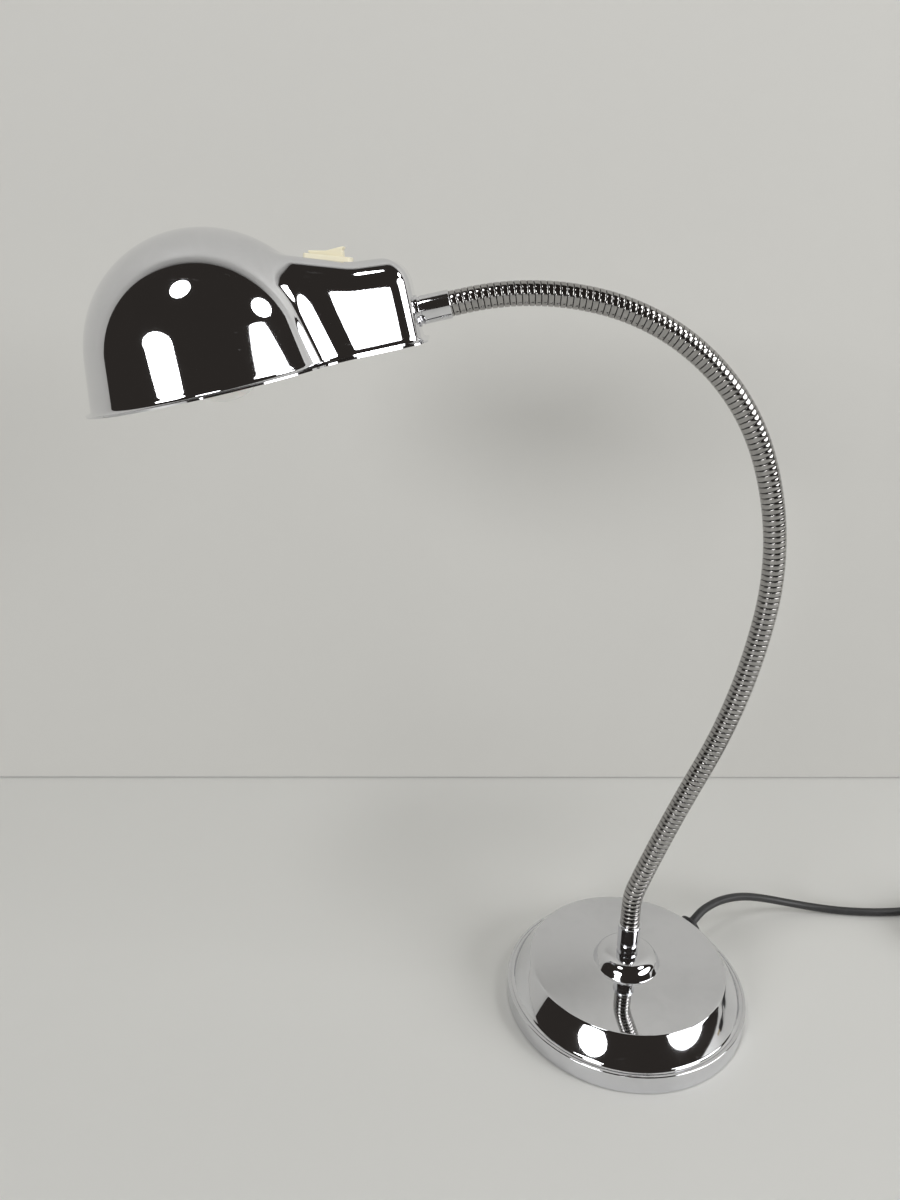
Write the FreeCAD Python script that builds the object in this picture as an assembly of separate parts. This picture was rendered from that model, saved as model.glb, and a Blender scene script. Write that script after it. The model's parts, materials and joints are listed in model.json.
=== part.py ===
import FreeCAD, Part
import math
import os

# A desk lamp on a flexible neck. Millimetres. The origin is the middle of the base's
# underside, +Z is up, and the head reaches out over -X. The lead leaves towards +X +Y.

V = FreeCAD.Vector
X = V(1, 0, 0)
Y = V(0, 1, 0)
Z = V(0, 0, 1)
ORIGIN = V(0, 0, 0)

# Base
base_radius = 75.0
rim_height = 12.5
ledge_width = 4.5
ledge_radius = base_radius - ledge_width
flank_run = 8.0
plateau_radius = ledge_radius - flank_run
plateau_height = 29.0
cove_radius = 2.5
brow_radius = 1.3
ring_groove_inset = 2.0
ring_groove_width = 0.6
ring_groove_depth = 0.4
boss_foot_radius = 19.5
boss_height = 8.5
boss_top_radius = 17.5
boss_shoulder = 6.5
boss_foot_fillet = 1.0
shell_wall = 1.0
pad_thickness = 1.5
pad_inset = 3.0
plate_thickness = 1.2
shell_lift = 0.6
plate_gap = 0.3
ballast_thickness = 15.5
ballast_gap = 1.2
ballast_bore_radius = 25.0
ballast_slot_width = 17.0
post_circle_radius = plateau_radius - 14.5
post_radius = 4.5
post_count = 3
post_first_angle = -20.0
screw_radius = 2.0
screw_head_radius = 3.8
screw_head_height = 2.2
screw_clearance = 0.25

# Threaded tube fittings, used at both ends of the neck and behind the lampholder
tube_thread_radius = 5.0
tube_bore_radius = 3.6
nut_across_flats = 14.0
nut_thickness = 3.0
washer_radius = 8.5
washer_thickness = 1.0
thread_clearance = 0.1

# Ferrules
ferrule_radius = 6.8
ferrule_bead_radius = 7.4
ferrule_bead_height = 2.6
ferrule_neck_depth = 0.9
ferrule_neck_height = 1.2
foot_ferrule_length = 20.5
head_ferrule_length = 16.5
head_collar_radius = 7.5
head_collar_length = 1.2

# Flexible neck: strip-wound hose, its centreline at rest as lengths and turns, from the foot up
hose_radius = 6.0
hose_bore_radius = 4.2
turn_pitch = 3.11
turns_per_link = 13
link_count = 12
joint_sphere_radius = 6.5
joint_clearance = 0.03
hose_seat_depth = 11.0
neck_bends = [
    (13.5, 0.0),
    (14.0, -18.0),
    (89.0, -4.5),
    (100.5, 16.4),
    (89.5, 28.4),
    (118.4, 54.4),
    (67.5, 25.8),
    (8.0, 0.0),
]

# Shade, in its own frame: x runs back to the neck, z up from the rim, the origin under the dome
shade_wall = 0.8
crown_height = 73.5
dome_radius = 60.4
skirt_draft = 11.5
box_half_width = 22.8
seat_front = dome_radius - 10.4
seat_front_height = crown_height - 22.4
seat_rear = seat_front + 28.5
seat_rear_height = seat_front_height - 9.0
roof_overlap = 14.0
box_rear = seat_rear + 25.0
box_rear_height = seat_rear_height - 2.1
box_side_radius = 8.0
box_edge_radius = 8.0
valley_radius = 14.0
rim_lip = 2.8
rim_lip_thickness = 0.9
neck_axis_height = 14.0

# Rocker switch, in its own frame on the seat
bezel_length = 22.5
bezel_width = 15.0
bezel_height = 2.0
switch_length = 19.2
switch_width = 12.8
switch_depth = 9.0
switch_wall = 0.9
cutout_gap = 0.15
rocker_gap = 0.3
rocker_half = 7.5
rocker_flare_height = 3.6
rocker_tip_half = 9.5
rocker_tip_height = 5.2
rocker_valley_height = 4.0
rocker_valley_radius = 8.0
rocker_keel_depth = 3.6
rocker_keel_half = 5.6
rocker_tilt = 12.0
trunnion_radius = 1.2
trunnion_clearance = 0.05
terminal_length = 4.5
terminal_width = 4.0
terminal_thickness = 0.8
terminal_spacing = 10.0

# Lampholder and bulb, on the neck's axis inside the shade
bracket_thickness = 1.5
bracket_width = 18.0
bracket_height = 22.0
bracket_front = 88.0
holder_length = 52.0
holder_radius = 14.0
holder_cap_length = 19.0
holder_cap_neck_radius = 9.5
holder_wall = 2.0
holder_collar_height = 1.6
holder_tube_length = 12.0
sleeve_radius = 8.2
sleeve_wall = 0.5
sleeve_length = 22.0
sleeve_inset = 3.0
bulb_cap_radius = 7.0
bulb_cap_length = 21.0
bulb_tip_radius = 2.2
bulb_tip_height = 1.6
bulb_insulator_radius = 5.2
bulb_insulator_height = 2.4
globe_radius = 22.5
globe_centre = 3.0
bulb_neck_radius = 9.0
contact_thickness = 0.6
contact_width = 4.0

# Lead, its gland and its plug
lead_radius = 2.75
flex_radius = 2.2
lead_start_length = 9.0
gland_angle = 39.0
gland_height = 21.3
gland_flange_radius = 7.0
gland_flange_thickness = 2.0
gland_body_radius = 4.6
gland_body_depth = 4.5
gland_sleeve_radius = 4.0
gland_sleeve_length = 4.0
gland_gap = 0.1
flex_height = 7.5
clamp_place = 36.0
clamp_length = 9.0
clamp_wall = 1.6
clamp_gap = 0.15
coil_centre = V(262.0, 50.0, 0.0)
coil_mid_radius = 30.0
coil_layers = 3
plug_length = 36.0
plug_width = 25.0
plug_height = 13.0
plug_nose_width = 17.0
pin_radius = 2.0
pin_length = 19.0
pin_spacing = 18.0
plug_sleeve_length = 12.0
tie_width = 8.0
tie_thickness = 1.2
tie_bite = 0.6


def export(node, shape):
    os.makedirs("parts", exist_ok=True)
    shape.exportStep("parts/" + node + ".step")


def polar(radius, angle, height):
    a = math.radians(angle)
    return V(radius * math.cos(a), radius * math.sin(a), height)


def rounded_wire(corners, plane):
    """A closed wire through (a, b, radius) corners. plane turns (a, b) into a point in space."""
    flat = [V(a, b, 0) for a, b, _ in corners]
    spans = []
    for i, (_, _, radius) in enumerate(corners):
        here = flat[i]
        before = (flat[i - 1] - here).normalize()
        after = (flat[(i + 1) % len(flat)] - here).normalize()
        if radius <= 0:
            spans.append((here, None, here))
            continue
        half = before.getAngle(after) / 2
        reach = radius / math.tan(half)
        middle = (before + after).normalize() * (radius / math.sin(half) - radius)
        spans.append((here + before * reach, here + middle, here + after * reach))
    edges = []
    for i, (start, middle, end) in enumerate(spans):
        if middle is not None:
            arc = Part.Arc(plane(start), plane(middle), plane(end))
            edges.append(arc.toShape())
        following = spans[(i + 1) % len(spans)][0]
        if (following - end).Length > 1e-6:
            edges.append(Part.LineSegment(plane(end), plane(following)).toShape())
    return Part.Wire(edges)


def turned(corners):
    """A solid of revolution about Z from (radius, height, rounding) corners."""
    wire = rounded_wire(corners, lambda p: V(p.x, 0, p.y))
    return Part.Face(wire).revolve(ORIGIN, Z, 360)


def sharp(points):
    return [(a, b, 0) for a, b in points]


def prism(corners, width):
    """A side view of (x, z, rounding) corners, made width thick about the plane y = 0."""
    wire = rounded_wire(corners, lambda p: V(p.x, -width / 2, p.y))
    return Part.Face(wire).extrude(Y * width)


def cylinder(radius, length, foot=ORIGIN, along=Z):
    return Part.makeCylinder(radius, length, foot, along)


def tube(outer, inner, length, foot=ORIGIN, along=Z):
    return cylinder(outer, length, foot, along).cut(cylinder(inner, length, foot, along))


def block(length, width, height, centre):
    corner = centre - V(length / 2, width / 2, height / 2)
    return Part.makeBox(length, width, height, corner)


def hexagon(across_flats, thickness, bore):
    reach = across_flats / math.sqrt(3)
    points = [polar(reach, 60 * i, 0) for i in range(7)]
    nut = Part.Face(Part.makePolygon(points)).extrude(Z * thickness)
    return nut.cut(cylinder(bore, thickness))


def aim(shape, foot, along):
    """The shape with its Z axis turned to along and its origin moved to foot."""
    turn = FreeCAD.Rotation(Z, along)
    return shape.transformed(FreeCAD.Placement(foot, turn).toMatrix())


def arc_radii(points):
    """The largest tangent arc that each inner point of a route has room for."""
    found = []
    for before, here, after in zip(points, points[1:], points[2:]):
        half_turn = (here - before).getAngle(after - here) / 2
        shorter = min((here - before).Length, (after - here).Length)
        found.append(0.45 * shorter / math.tan(half_turn))
    return found


def route_wire(points):
    """Straight runs joined by tangent arcs."""
    edges = []
    start = points[0]
    inner = zip(points, points[1:], points[2:], arc_radii(points))
    for before, here, after, radius in inner:
        back = (before - here).normalize()
        ahead = (after - here).normalize()
        half = back.getAngle(ahead) / 2
        reach = radius / math.tan(half)
        middle = (back + ahead).normalize() * (radius / math.sin(half) - radius)
        edges.append(Part.LineSegment(start, here + back * reach).toShape())
        arc = Part.Arc(here + back * reach, here + middle, here + ahead * reach)
        edges.append(arc.toShape())
        start = here + ahead * reach
    edges.append(Part.LineSegment(start, points[-1]).toShape())
    return Part.Wire(edges)


def cord(points, radius):
    path = route_wire(points)
    section = Part.Wire(Part.makeCircle(radius, points[0], points[1] - points[0]))
    return path.makePipeShell([section], True, False)


def report_cord(name, points, radius, solid):
    length = route_wire(points).Length
    fill = solid.Volume / (math.pi * radius * radius * length)
    radii = " ".join("%.0f" % r for r in arc_radii(points))
    print("%s: %.0f mm long, filled %.4f, radii %s" % (name, length, fill, radii))


# Base shell and what it holds


def base_form(inset):
    """The base's outer form, drawn in by inset on every side but the underside."""
    flank = math.atan2(plateau_height - rim_height, ledge_radius - plateau_radius)
    flank_shift = inset * math.tan((math.pi / 2 - flank) / 2)
    rim_top = rim_height - inset
    deck = plateau_height - inset
    top = plateau_height + boss_height - inset
    return turned([
        (0, shell_lift, 0),
        (base_radius - inset, shell_lift, 0),
        (base_radius - inset, rim_top, 0),
        (ledge_radius - inset + flank_shift, rim_top, cove_radius + inset),
        (plateau_radius - inset + flank_shift, deck, brow_radius - inset),
        (boss_foot_radius - inset, deck, boss_foot_fillet + inset),
        (boss_top_radius - inset, top, boss_shoulder - inset),
        (0, top, 0),
    ])


def gland_axis():
    """Where the lead's axis meets the base's flank, and the way out along the flank's normal."""
    rise = plateau_height - rim_height
    run = ledge_radius - plateau_radius
    radius = ledge_radius - run * (gland_height - rim_height) / rise
    slope = math.degrees(math.atan2(run, rise))
    outward = polar(math.cos(math.radians(slope)), gland_angle, math.sin(math.radians(slope)))
    return polar(radius, gland_angle, gland_height), outward


def post_places():
    step = 360.0 / post_count
    return [post_first_angle + step * i for i in range(post_count)]


def base_shell():
    """The pressing, with its ring groove, the hole for the stem and the hole for the lead's bush."""
    shell = base_form(0).cut(base_form(shell_wall))
    outer = base_radius - ring_groove_inset + ring_groove_width / 2
    inner = outer - ring_groove_width
    shell = shell.cut(tube(outer, inner, shell_wall, V(0, 0, rim_height - ring_groove_depth)))
    top = plateau_height + boss_height
    stem_hole = tube_thread_radius + thread_clearance
    shell = shell.cut(cylinder(stem_hole, shell_wall * 3, V(0, 0, top - 2 * shell_wall)))
    place, outward = gland_axis()
    bush_hole = gland_body_radius + gland_gap
    return shell.cut(cylinder(bush_hole, shell_wall * 6, place - outward * shell_wall * 3, outward))


def plate_top():
    return pad_thickness + plate_thickness


def ballast_top():
    return plate_top() + ballast_thickness


def base_plate():
    radius = base_radius - shell_wall - plate_gap
    plate = cylinder(radius, plate_thickness, V(0, 0, pad_thickness))
    return with_screw_holes(plate, screw_radius, pad_thickness, plate_thickness)


def with_screw_holes(shape, radius, foot, depth):
    """The shape with a clearance hole for each base screw."""
    for angle in post_places():
        place = polar(post_circle_radius, angle, foot)
        shape = shape.cut(cylinder(radius + screw_clearance, depth, place))
    return shape


def ballast_weight():
    lower = ledge_radius - shell_wall - ballast_gap
    flank = (ledge_radius - plateau_radius) / (plateau_height - rim_height)
    upper = lower - flank * (ballast_top() + shell_wall - rim_height)
    weight = turned(sharp([
        (ballast_bore_radius, plate_top()),
        (lower, plate_top()),
        (lower, rim_height - shell_wall - ballast_gap),
        (upper, ballast_top()),
        (ballast_bore_radius, ballast_top()),
    ]))
    corner = V(0, -ballast_slot_width / 2, plate_top())
    slot = Part.makeBox(base_radius, ballast_slot_width, ballast_thickness, corner)
    slot.rotate(ORIGIN, Z, gland_angle)
    return with_screw_holes(weight.cut(slot), screw_radius, plate_top(), ballast_thickness)


def shell_posts():
    height = plateau_height - shell_wall - ballast_top()
    posts = []
    for angle in post_places():
        foot = polar(post_circle_radius, angle, ballast_top())
        post = cylinder(post_radius, height, foot)
        posts.append(post.cut(cylinder(screw_radius, height - 2.0, foot)))
    return Part.makeCompound(posts)


def base_screws():
    """Pan heads sunk in the pad's thickness, with shanks up through the ballast into the posts."""
    head = min(screw_head_height, pad_thickness - 0.1)
    screws = []
    for angle in post_places():
        foot = polar(post_circle_radius, angle, pad_thickness - head)
        shank = cylinder(screw_radius, head + plate_thickness + ballast_thickness + 6.0, foot)
        screws.append(cylinder(screw_head_radius, head, foot).fuse(shank).removeSplitter())
    return Part.makeCompound(screws)


def foot_pad():
    """The pad with a hole round each screw head."""
    pad = cylinder(base_radius - shell_wall - pad_inset, pad_thickness)
    return with_screw_holes(pad, screw_head_radius, 0, pad_thickness)


def threaded_tube(length):
    return tube(tube_thread_radius, tube_bore_radius, length)


def flat_washer():
    return tube(washer_radius, tube_thread_radius + thread_clearance, washer_thickness)


# Neck


def neck_length():
    return sum(length for length, _ in neck_bends)


def neck_at(distance):
    """The centreline's point and direction at a distance along it from the foot ferrule's mouth."""
    x = 0.0
    z = plateau_height + boss_height + foot_ferrule_length - 0.5
    angle = math.pi / 2
    left = distance
    for length, turn in neck_bends:
        part = min(left, length)
        bend = math.radians(turn) * part / length
        if abs(bend) < 1e-9:
            x += part * math.cos(angle)
            z += part * math.sin(angle)
        else:
            radius = part / bend
            x += radius * (math.sin(angle + bend) - math.sin(angle))
            z += radius * (math.cos(angle) - math.cos(angle + bend))
        angle += bend
        left -= part
        if left <= 1e-9:
            break
    return V(x, 0, z), V(math.cos(angle), 0, math.sin(angle))


def hinge_spacing():
    """How far along the neck the first bending centre is, and the distance between two."""
    link = turns_per_link * turn_pitch
    return (neck_length() - link * link_count) / 2, link


def hinge_points():
    """The neck's bending centres, one link apart, with equal stubs left at both ends."""
    first, link = hinge_spacing()
    return [neck_at(first + link * i)[0] for i in range(link_count + 1)]


def nose_rings():
    """(radius, height over the bending centre) of the rings on a link's convex end."""
    outer = math.asin(hose_radius / joint_sphere_radius)
    inner = math.asin(hose_bore_radius / joint_sphere_radius)
    found = []
    for angle in (outer, (outer + inner) / 2, inner):
        found.append((joint_sphere_radius * math.sin(angle), joint_sphere_radius * math.cos(angle)))
    return found


def socket_rings():
    """(radius, height) of the concave end's cone, which touches the sphere plus the clearance midway."""
    outer = math.asin(hose_radius / joint_sphere_radius)
    inner = math.asin(hose_bore_radius / joint_sphere_radius)
    middle = (outer + inner) / 2
    reach = joint_sphere_radius + joint_clearance
    found = []
    for radius in (hose_bore_radius, hose_radius):
        found.append((radius, (reach - radius * math.sin(middle)) / math.cos(middle)))
    return found


def link_between(lower, upper):
    """A straight run of hose with its socket about the lower centre and its nose about the upper one."""
    length = (upper - lower).Length
    profile = socket_rings() + [(r, length + h) for r, h in nose_rings()]
    return aim(turned(sharp(profile)), lower, upper - lower)


def neck_foot_end(floor, centre):
    length = centre.z - floor
    profile = [(hose_bore_radius, 0), (hose_radius, 0)] + [(r, length + h) for r, h in nose_rings()]
    return turned(sharp(profile)).translated(V(0, 0, floor))


def neck_top_end(centre, seat, along):
    length = (seat - centre).dot(along)
    profile = socket_rings() + [(hose_radius, length), (hose_bore_radius, length)]
    return aim(turned(sharp(profile)), centre, along)


def foot_ferrule():
    """A turned cup on the boss, necked in at its foot, with a bead round the hose at its mouth."""
    bead_foot = foot_ferrule_length - ferrule_bead_height
    floor = foot_ferrule_length - hose_seat_depth
    neck = ferrule_radius - ferrule_neck_depth
    return turned([
        (tube_thread_radius, 0, 0),
        (neck, 0, 0),
        (neck, ferrule_neck_height, 0),
        (ferrule_radius, ferrule_neck_height + ferrule_neck_depth, 0),
        (ferrule_radius, bead_foot, 0),
        (ferrule_bead_radius, bead_foot, ferrule_bead_height * 0.4),
        (ferrule_bead_radius, foot_ferrule_length, ferrule_bead_height * 0.4),
        (hose_radius, foot_ferrule_length, 0),
        (hose_radius, floor, 0),
        (tube_thread_radius, floor, 0),
    ])


def head_ferrule():
    """Along Z from the shade's rear wall to its mouth, where the hose goes in."""
    return turned(sharp([
        (tube_thread_radius, 0),
        (head_collar_radius, 0),
        (head_collar_radius, head_collar_length),
        (ferrule_radius, head_collar_length),
        (ferrule_radius, head_ferrule_length),
        (hose_radius, head_ferrule_length),
        (hose_radius, head_ferrule_length - hose_seat_depth),
        (tube_thread_radius, head_ferrule_length - hose_seat_depth),
    ]))


# Head, all in the shade's own frame until it is put on the neck


def dome_form(inset):
    radius = dome_radius - inset
    centre = crown_height - dome_radius
    draft = math.radians(skirt_draft)
    join = V(radius * math.cos(draft), 0, centre + radius * math.sin(draft))
    rim = V(join.x + join.z * math.tan(draft), 0, 0)
    half = (math.pi / 2 + draft) / 2
    middle = V(radius * math.cos(half), 0, centre + radius * math.sin(half))
    crown = V(0, 0, centre + radius)
    edges = [
        Part.LineSegment(ORIGIN, rim).toShape(),
        Part.LineSegment(rim, join).toShape(),
        Part.Arc(join, middle, crown).toShape(),
        Part.LineSegment(crown, ORIGIN).toShape(),
    ]
    return Part.Face(Part.Wire(edges)).revolve(ORIGIN, Z, 360)


def box_form(inset):
    """The boxy rear of the shade: a sloping roof with the switch's seat, on upright walls."""
    front = seat_front - roof_overlap
    slope = (seat_front_height - seat_rear_height) / (seat_rear - seat_front)
    rear = box_rear - inset
    box = prism([
        (front, 0, 0),
        (rear, 0, 0),
        (rear, box_rear_height - inset, 0),
        (seat_rear, seat_rear_height - inset, 0),
        (front, seat_front_height + roof_overlap * slope - inset, 0),
    ], 2 * (box_half_width - inset))
    upright = [e for e in box.Edges if abs(e.tangentAt(e.FirstParameter).z) > 0.999]
    upright = [e for e in upright if e.CenterOfMass.x > seat_rear]
    box = box.makeFillet(box_side_radius - inset, upright)
    low = min(seat_rear_height, box_rear_height) / 2
    roof = [e for e in box.Edges if e.CenterOfMass.z > low and e.CenterOfMass.x > front + 1]
    upper = [e for e in roof if is_roof_border(e, rear)]
    return box.makeFillet(box_edge_radius - inset, upper)


def is_roof_border(edge, rear):
    """True of the roof's side and rear edges, but not of the crease across it or the corners below it."""
    upright = abs(edge.tangentAt(edge.FirstParameter).z) > 0.999
    crosses = abs(edge.CenterOfMass.y) < 0.1 and edge.CenterOfMass.x < rear - 0.1
    return not upright and not crosses


def shade_form(inset):
    """The whole pressing: the dome, the box and the soft valley where they meet."""
    whole = dome_form(inset).fuse(box_form(inset)).removeSplitter()
    valley = []
    for edge in whole.Edges:
        if edge.CenterOfMass.z < 1e-3:
            continue
        faces = whole.ancestorsOfType(edge, Part.Face)
        round_faces = [f for f in faces if on_dome(f)]
        if len(faces) == 2 and len(round_faces) == 1:
            valley.append(edge)
    return whole.makeFillet(valley_radius + inset, valley)


def on_dome(face):
    kind = face.Surface.TypeId
    if kind == "Part::GeomSphere":
        return face.Surface.Radius > box_side_radius * 2
    if kind == "Part::GeomCone":
        return True
    return False


def rim_plate():
    """The shade's plan at the rim, widened all round by the turned-out lip."""
    draft = math.radians(skirt_draft)
    join_height = crown_height - dome_radius + dome_radius * math.sin(draft)
    radius = dome_radius * math.cos(draft) + join_height * math.tan(draft) + rim_lip
    half = box_half_width + rim_lip
    rear = box_rear + rim_lip
    side = box_side_radius + rim_lip
    corners = [(0, -half, 0), (rear, -half, side), (rear, half, side), (0, half, 0)]
    wire = rounded_wire(corners, lambda p: p)
    tail = Part.Face(wire).extrude(Z * rim_lip_thickness)
    plate = cylinder(radius, rim_lip_thickness).fuse(tail).removeSplitter()
    upright = [e for e in plate.Edges if on_valley(e)]
    return plate.makeFillet(valley_radius - rim_lip, upright)


def on_valley(edge):
    ends = [v.Point for v in edge.Vertexes]
    if len(ends) < 2 or abs(ends[0].z - ends[1].z) < rim_lip_thickness / 2:
        return False
    return seat_front < ends[0].x < seat_rear


def shade():
    pressing = shade_form(0).fuse(rim_plate()).cut(shade_form(shade_wall))
    foot = on_neck_axis(box_rear - 2 * shade_wall)
    hole = cylinder(tube_thread_radius + thread_clearance, shade_wall * 4, foot, X)
    length = switch_length + 2 * cutout_gap
    width = switch_width + 2 * cutout_gap
    cutout = on_seat(block(length, width, 12 * shade_wall, ORIGIN))
    return pressing.cut(hole).cut(cutout).removeSplitter().Solids[0]


def on_seat(shape):
    """The switch's frame: its origin in the middle of the seat, its Z square to it."""
    slope = math.degrees(math.atan2(seat_front_height - seat_rear_height, seat_rear - seat_front))
    middle = seat_front + (seat_rear - seat_front) * 0.6
    height = seat_front_height - (middle - seat_front) * math.tan(math.radians(slope))
    place = FreeCAD.Placement(V(middle, 0, height), FreeCAD.Rotation(Y, slope))
    return shape.transformed(place.toMatrix())


def switch_body():
    """Bezel and housing in one moulding, open at the top, with bearings for the rocker."""
    bezel = block(bezel_length, bezel_width, bezel_height, V(0, 0, bezel_height / 2))
    corners = [e for e in bezel.Edges if abs(e.Vertexes[0].Z - e.Vertexes[1].Z) > 1]
    bezel = bezel.makeFillet(1.5, corners)
    top_edges = [e for e in bezel.Edges if min(v.Z for v in e.Vertexes) > bezel_height - 0.01]
    bezel = bezel.makeChamfer(0.5, top_edges)
    housing = block(switch_length, switch_width, switch_depth, V(0, 0, -switch_depth / 2))
    cavity_depth = switch_depth - switch_wall + bezel_height
    cavity = block(
        switch_length - 2 * switch_wall,
        switch_width - 2 * switch_wall,
        cavity_depth,
        V(0, 0, bezel_height - cavity_depth / 2),
    )
    moulding = bezel.fuse(housing).cut(cavity).removeSplitter()
    bearing = cylinder(trunnion_radius + trunnion_clearance, switch_width, V(0, -switch_width / 2, 0), Y)
    return moulding.cut(bearing)


def rocker():
    """The rocker with one end down. Its tips flare over the bezel, and its keel hangs on two trunnions."""
    half = rocker_half
    width = switch_width - 2 * (switch_wall + rocker_gap)
    paddle = prism([
        (-half, 0, 0),
        (-rocker_keel_half, -rocker_keel_depth, 0),
        (rocker_keel_half, -rocker_keel_depth, 0),
        (half, 0, 0),
        (half, rocker_flare_height, 0),
        (rocker_tip_half, rocker_tip_height, 0.4),
        (0, rocker_valley_height, rocker_valley_radius),
        (-rocker_tip_half, rocker_tip_height, 0.4),
        (-half, rocker_flare_height, 0),
    ], width)
    pin_length = switch_width - 0.4
    pin = cylinder(trunnion_radius, pin_length, V(0, -pin_length / 2, 0), Y)
    paddle = paddle.fuse(pin).removeSplitter()
    paddle.rotate(ORIGIN, Y, -rocker_tilt)
    return paddle


def switch_terminals():
    blades = []
    for side in (-1, 1):
        top = -switch_depth
        centre = V(side * terminal_spacing / 2, 0, top - terminal_length / 2)
        blades.append(block(terminal_thickness, terminal_width, terminal_length, centre))
    return Part.makeCompound(blades)


def on_neck_axis(x):
    return V(x, 0, neck_axis_height)


def rear_inside():
    return box_rear - shade_wall


def holder_bracket():
    """A bent strip: a foot at the ferrule's nut, an arm beside the leads, a front plate for the holder."""
    foot_x = rear_inside() - bracket_thickness
    front_x = bracket_front - bracket_thickness
    low = neck_axis_height - bracket_height / 2
    side = -bracket_width / 2
    reach = rear_inside() - front_x
    arm_corner = V(front_x, bracket_width / 2 - bracket_thickness, low)
    foot = Part.makeBox(bracket_thickness, bracket_width, bracket_height, V(foot_x, side, low))
    front = Part.makeBox(bracket_thickness, bracket_width, bracket_height, V(front_x, side, low))
    arm = Part.makeBox(reach, bracket_thickness, bracket_height, arm_corner)
    strip = foot.fuse(front).fuse(arm).removeSplitter()
    bore = cylinder(tube_thread_radius + thread_clearance, rear_inside(), on_neck_axis(0), X)
    return strip.cut(bore)


def holder_front():
    return bracket_front - bracket_thickness - holder_length


def holder_cap():
    """The cap that screws on the holder's tube, tapering to its neck at the bracket."""
    back = bracket_front - bracket_thickness
    outer = [
        (tube_thread_radius, 0, 0),
        (holder_cap_neck_radius, 0, 0),
        (holder_cap_neck_radius, 3.0, 0),
        (holder_radius - 0.6, holder_cap_length - 5.0, 3.0),
        (holder_radius - 0.6, holder_cap_length, 0),
        (holder_radius - holder_wall - 0.6, holder_cap_length, 0),
        (holder_radius - holder_wall - 0.6, holder_cap_length - 4.0, 0),
        (holder_cap_neck_radius - 1.0, 6.0, 0),
        (tube_thread_radius, 6.0, 0),
    ]
    return aim(turned(outer), on_neck_axis(back), -X)


def holder_body():
    """The ribbed skirt round the threaded sleeve, with a floor that carries the contacts."""
    start = bracket_front - bracket_thickness - holder_cap_length
    length = holder_length - holder_cap_length
    floor = length - sleeve_length - sleeve_inset
    profile = sharp([
        (tube_bore_radius, 0),
        (holder_radius, 0),
        (holder_radius, 4.0),
        (holder_radius - holder_collar_height, 4.0),
        (holder_radius - holder_collar_height - 0.8, length - 4.0),
        (holder_radius - holder_collar_height + 0.6, length - 3.0),
        (holder_radius - holder_collar_height + 0.6, length),
        (sleeve_radius + 0.8, length),
        (sleeve_radius, length - sleeve_inset),
        (sleeve_radius, floor),
        (tube_bore_radius, floor),
    ])
    return aim(turned(profile), on_neck_axis(start), -X)


def sleeve_start():
    """Where the holder's floor is, on the neck's axis."""
    start = bracket_front - bracket_thickness - holder_cap_length
    floor = holder_length - holder_cap_length - sleeve_length - sleeve_inset
    return start - floor


def holder_sleeve():
    sleeve = tube(sleeve_radius, sleeve_radius - sleeve_wall, sleeve_length)
    return aim(sleeve, on_neck_axis(sleeve_start()), -X)


def holder_contact():
    """A sprung tongue on the holder's floor that presses the bulb's tip."""
    tongue = prism(sharp([
        (0, -6.0),
        (contact_thickness, -6.0),
        (contact_thickness, -3.0),
        (2.2, -1.5),
        (2.2, 1.8),
        (2.2 - contact_thickness, 1.8),
        (2.2 - contact_thickness, -1.2),
        (0, -2.6),
    ]), contact_width)
    turned_over = tongue.mirror(ORIGIN, X)
    return turned_over.translated(on_neck_axis(sleeve_start()))


def bulb_seat():
    return sleeve_start() - 2.2


def bulb_tip():
    tip = turned([
        (0, 0, 0),
        (bulb_tip_radius * 0.7, 0, 0),
        (bulb_tip_radius, bulb_tip_height, 0),
        (0, bulb_tip_height, 0),
    ])
    return aim(tip, on_neck_axis(bulb_seat()), -X)


def bulb_insulator():
    ring = turned(sharp([
        (0, bulb_tip_height),
        (bulb_tip_radius + 0.6, bulb_tip_height),
        (bulb_insulator_radius, bulb_tip_height + bulb_insulator_height),
        (0, bulb_tip_height + bulb_insulator_height),
    ]))
    return aim(ring, on_neck_axis(bulb_seat()), -X)


def bulb_cap():
    start = bulb_tip_height + bulb_insulator_height
    cap = turned(sharp([
        (0, start),
        (bulb_insulator_radius, start),
        (bulb_cap_radius, start + 2.0),
        (bulb_cap_radius, start + bulb_cap_length),
        (bulb_cap_radius - 0.4, start + bulb_cap_length),
        (bulb_cap_radius - 0.4, start + 2.4),
        (0, start + 2.4),
    ]))
    return aim(cap, on_neck_axis(bulb_seat()), -X)


def bulb_glass():
    """A round bulb: its neck seats in the cap and swells into the globe."""
    start = bulb_seat() - globe_centre
    mouth = start - (bulb_tip_height + bulb_insulator_height + bulb_cap_length)
    meet = math.asin(0.62)
    join_radius = globe_radius * math.sin(meet)
    join_height = globe_radius * math.cos(meet)
    foot = V(0, 0, mouth + 6.0)
    pole = V(0, 0, -globe_radius)
    stem = bulb_cap_radius - 0.4
    outline = [
        foot,
        V(stem, 0, mouth + 6.0),
        V(stem, 0, mouth),
        V(bulb_neck_radius, 0, mouth - 1.5),
        V(join_radius, 0, join_height),
    ]
    profile = [Part.LineSegment(a, b).toShape() for a, b in zip(outline, outline[1:])]
    profile.append(Part.Arc(outline[-1], V(globe_radius, 0, 0), pole).toShape())
    profile.append(Part.LineSegment(pole, foot).toShape())
    glass = Part.Face(Part.Wire(profile)).revolve(ORIGIN, Z, 360)
    return aim(glass, on_neck_axis(globe_centre), X)


# Lead


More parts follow.
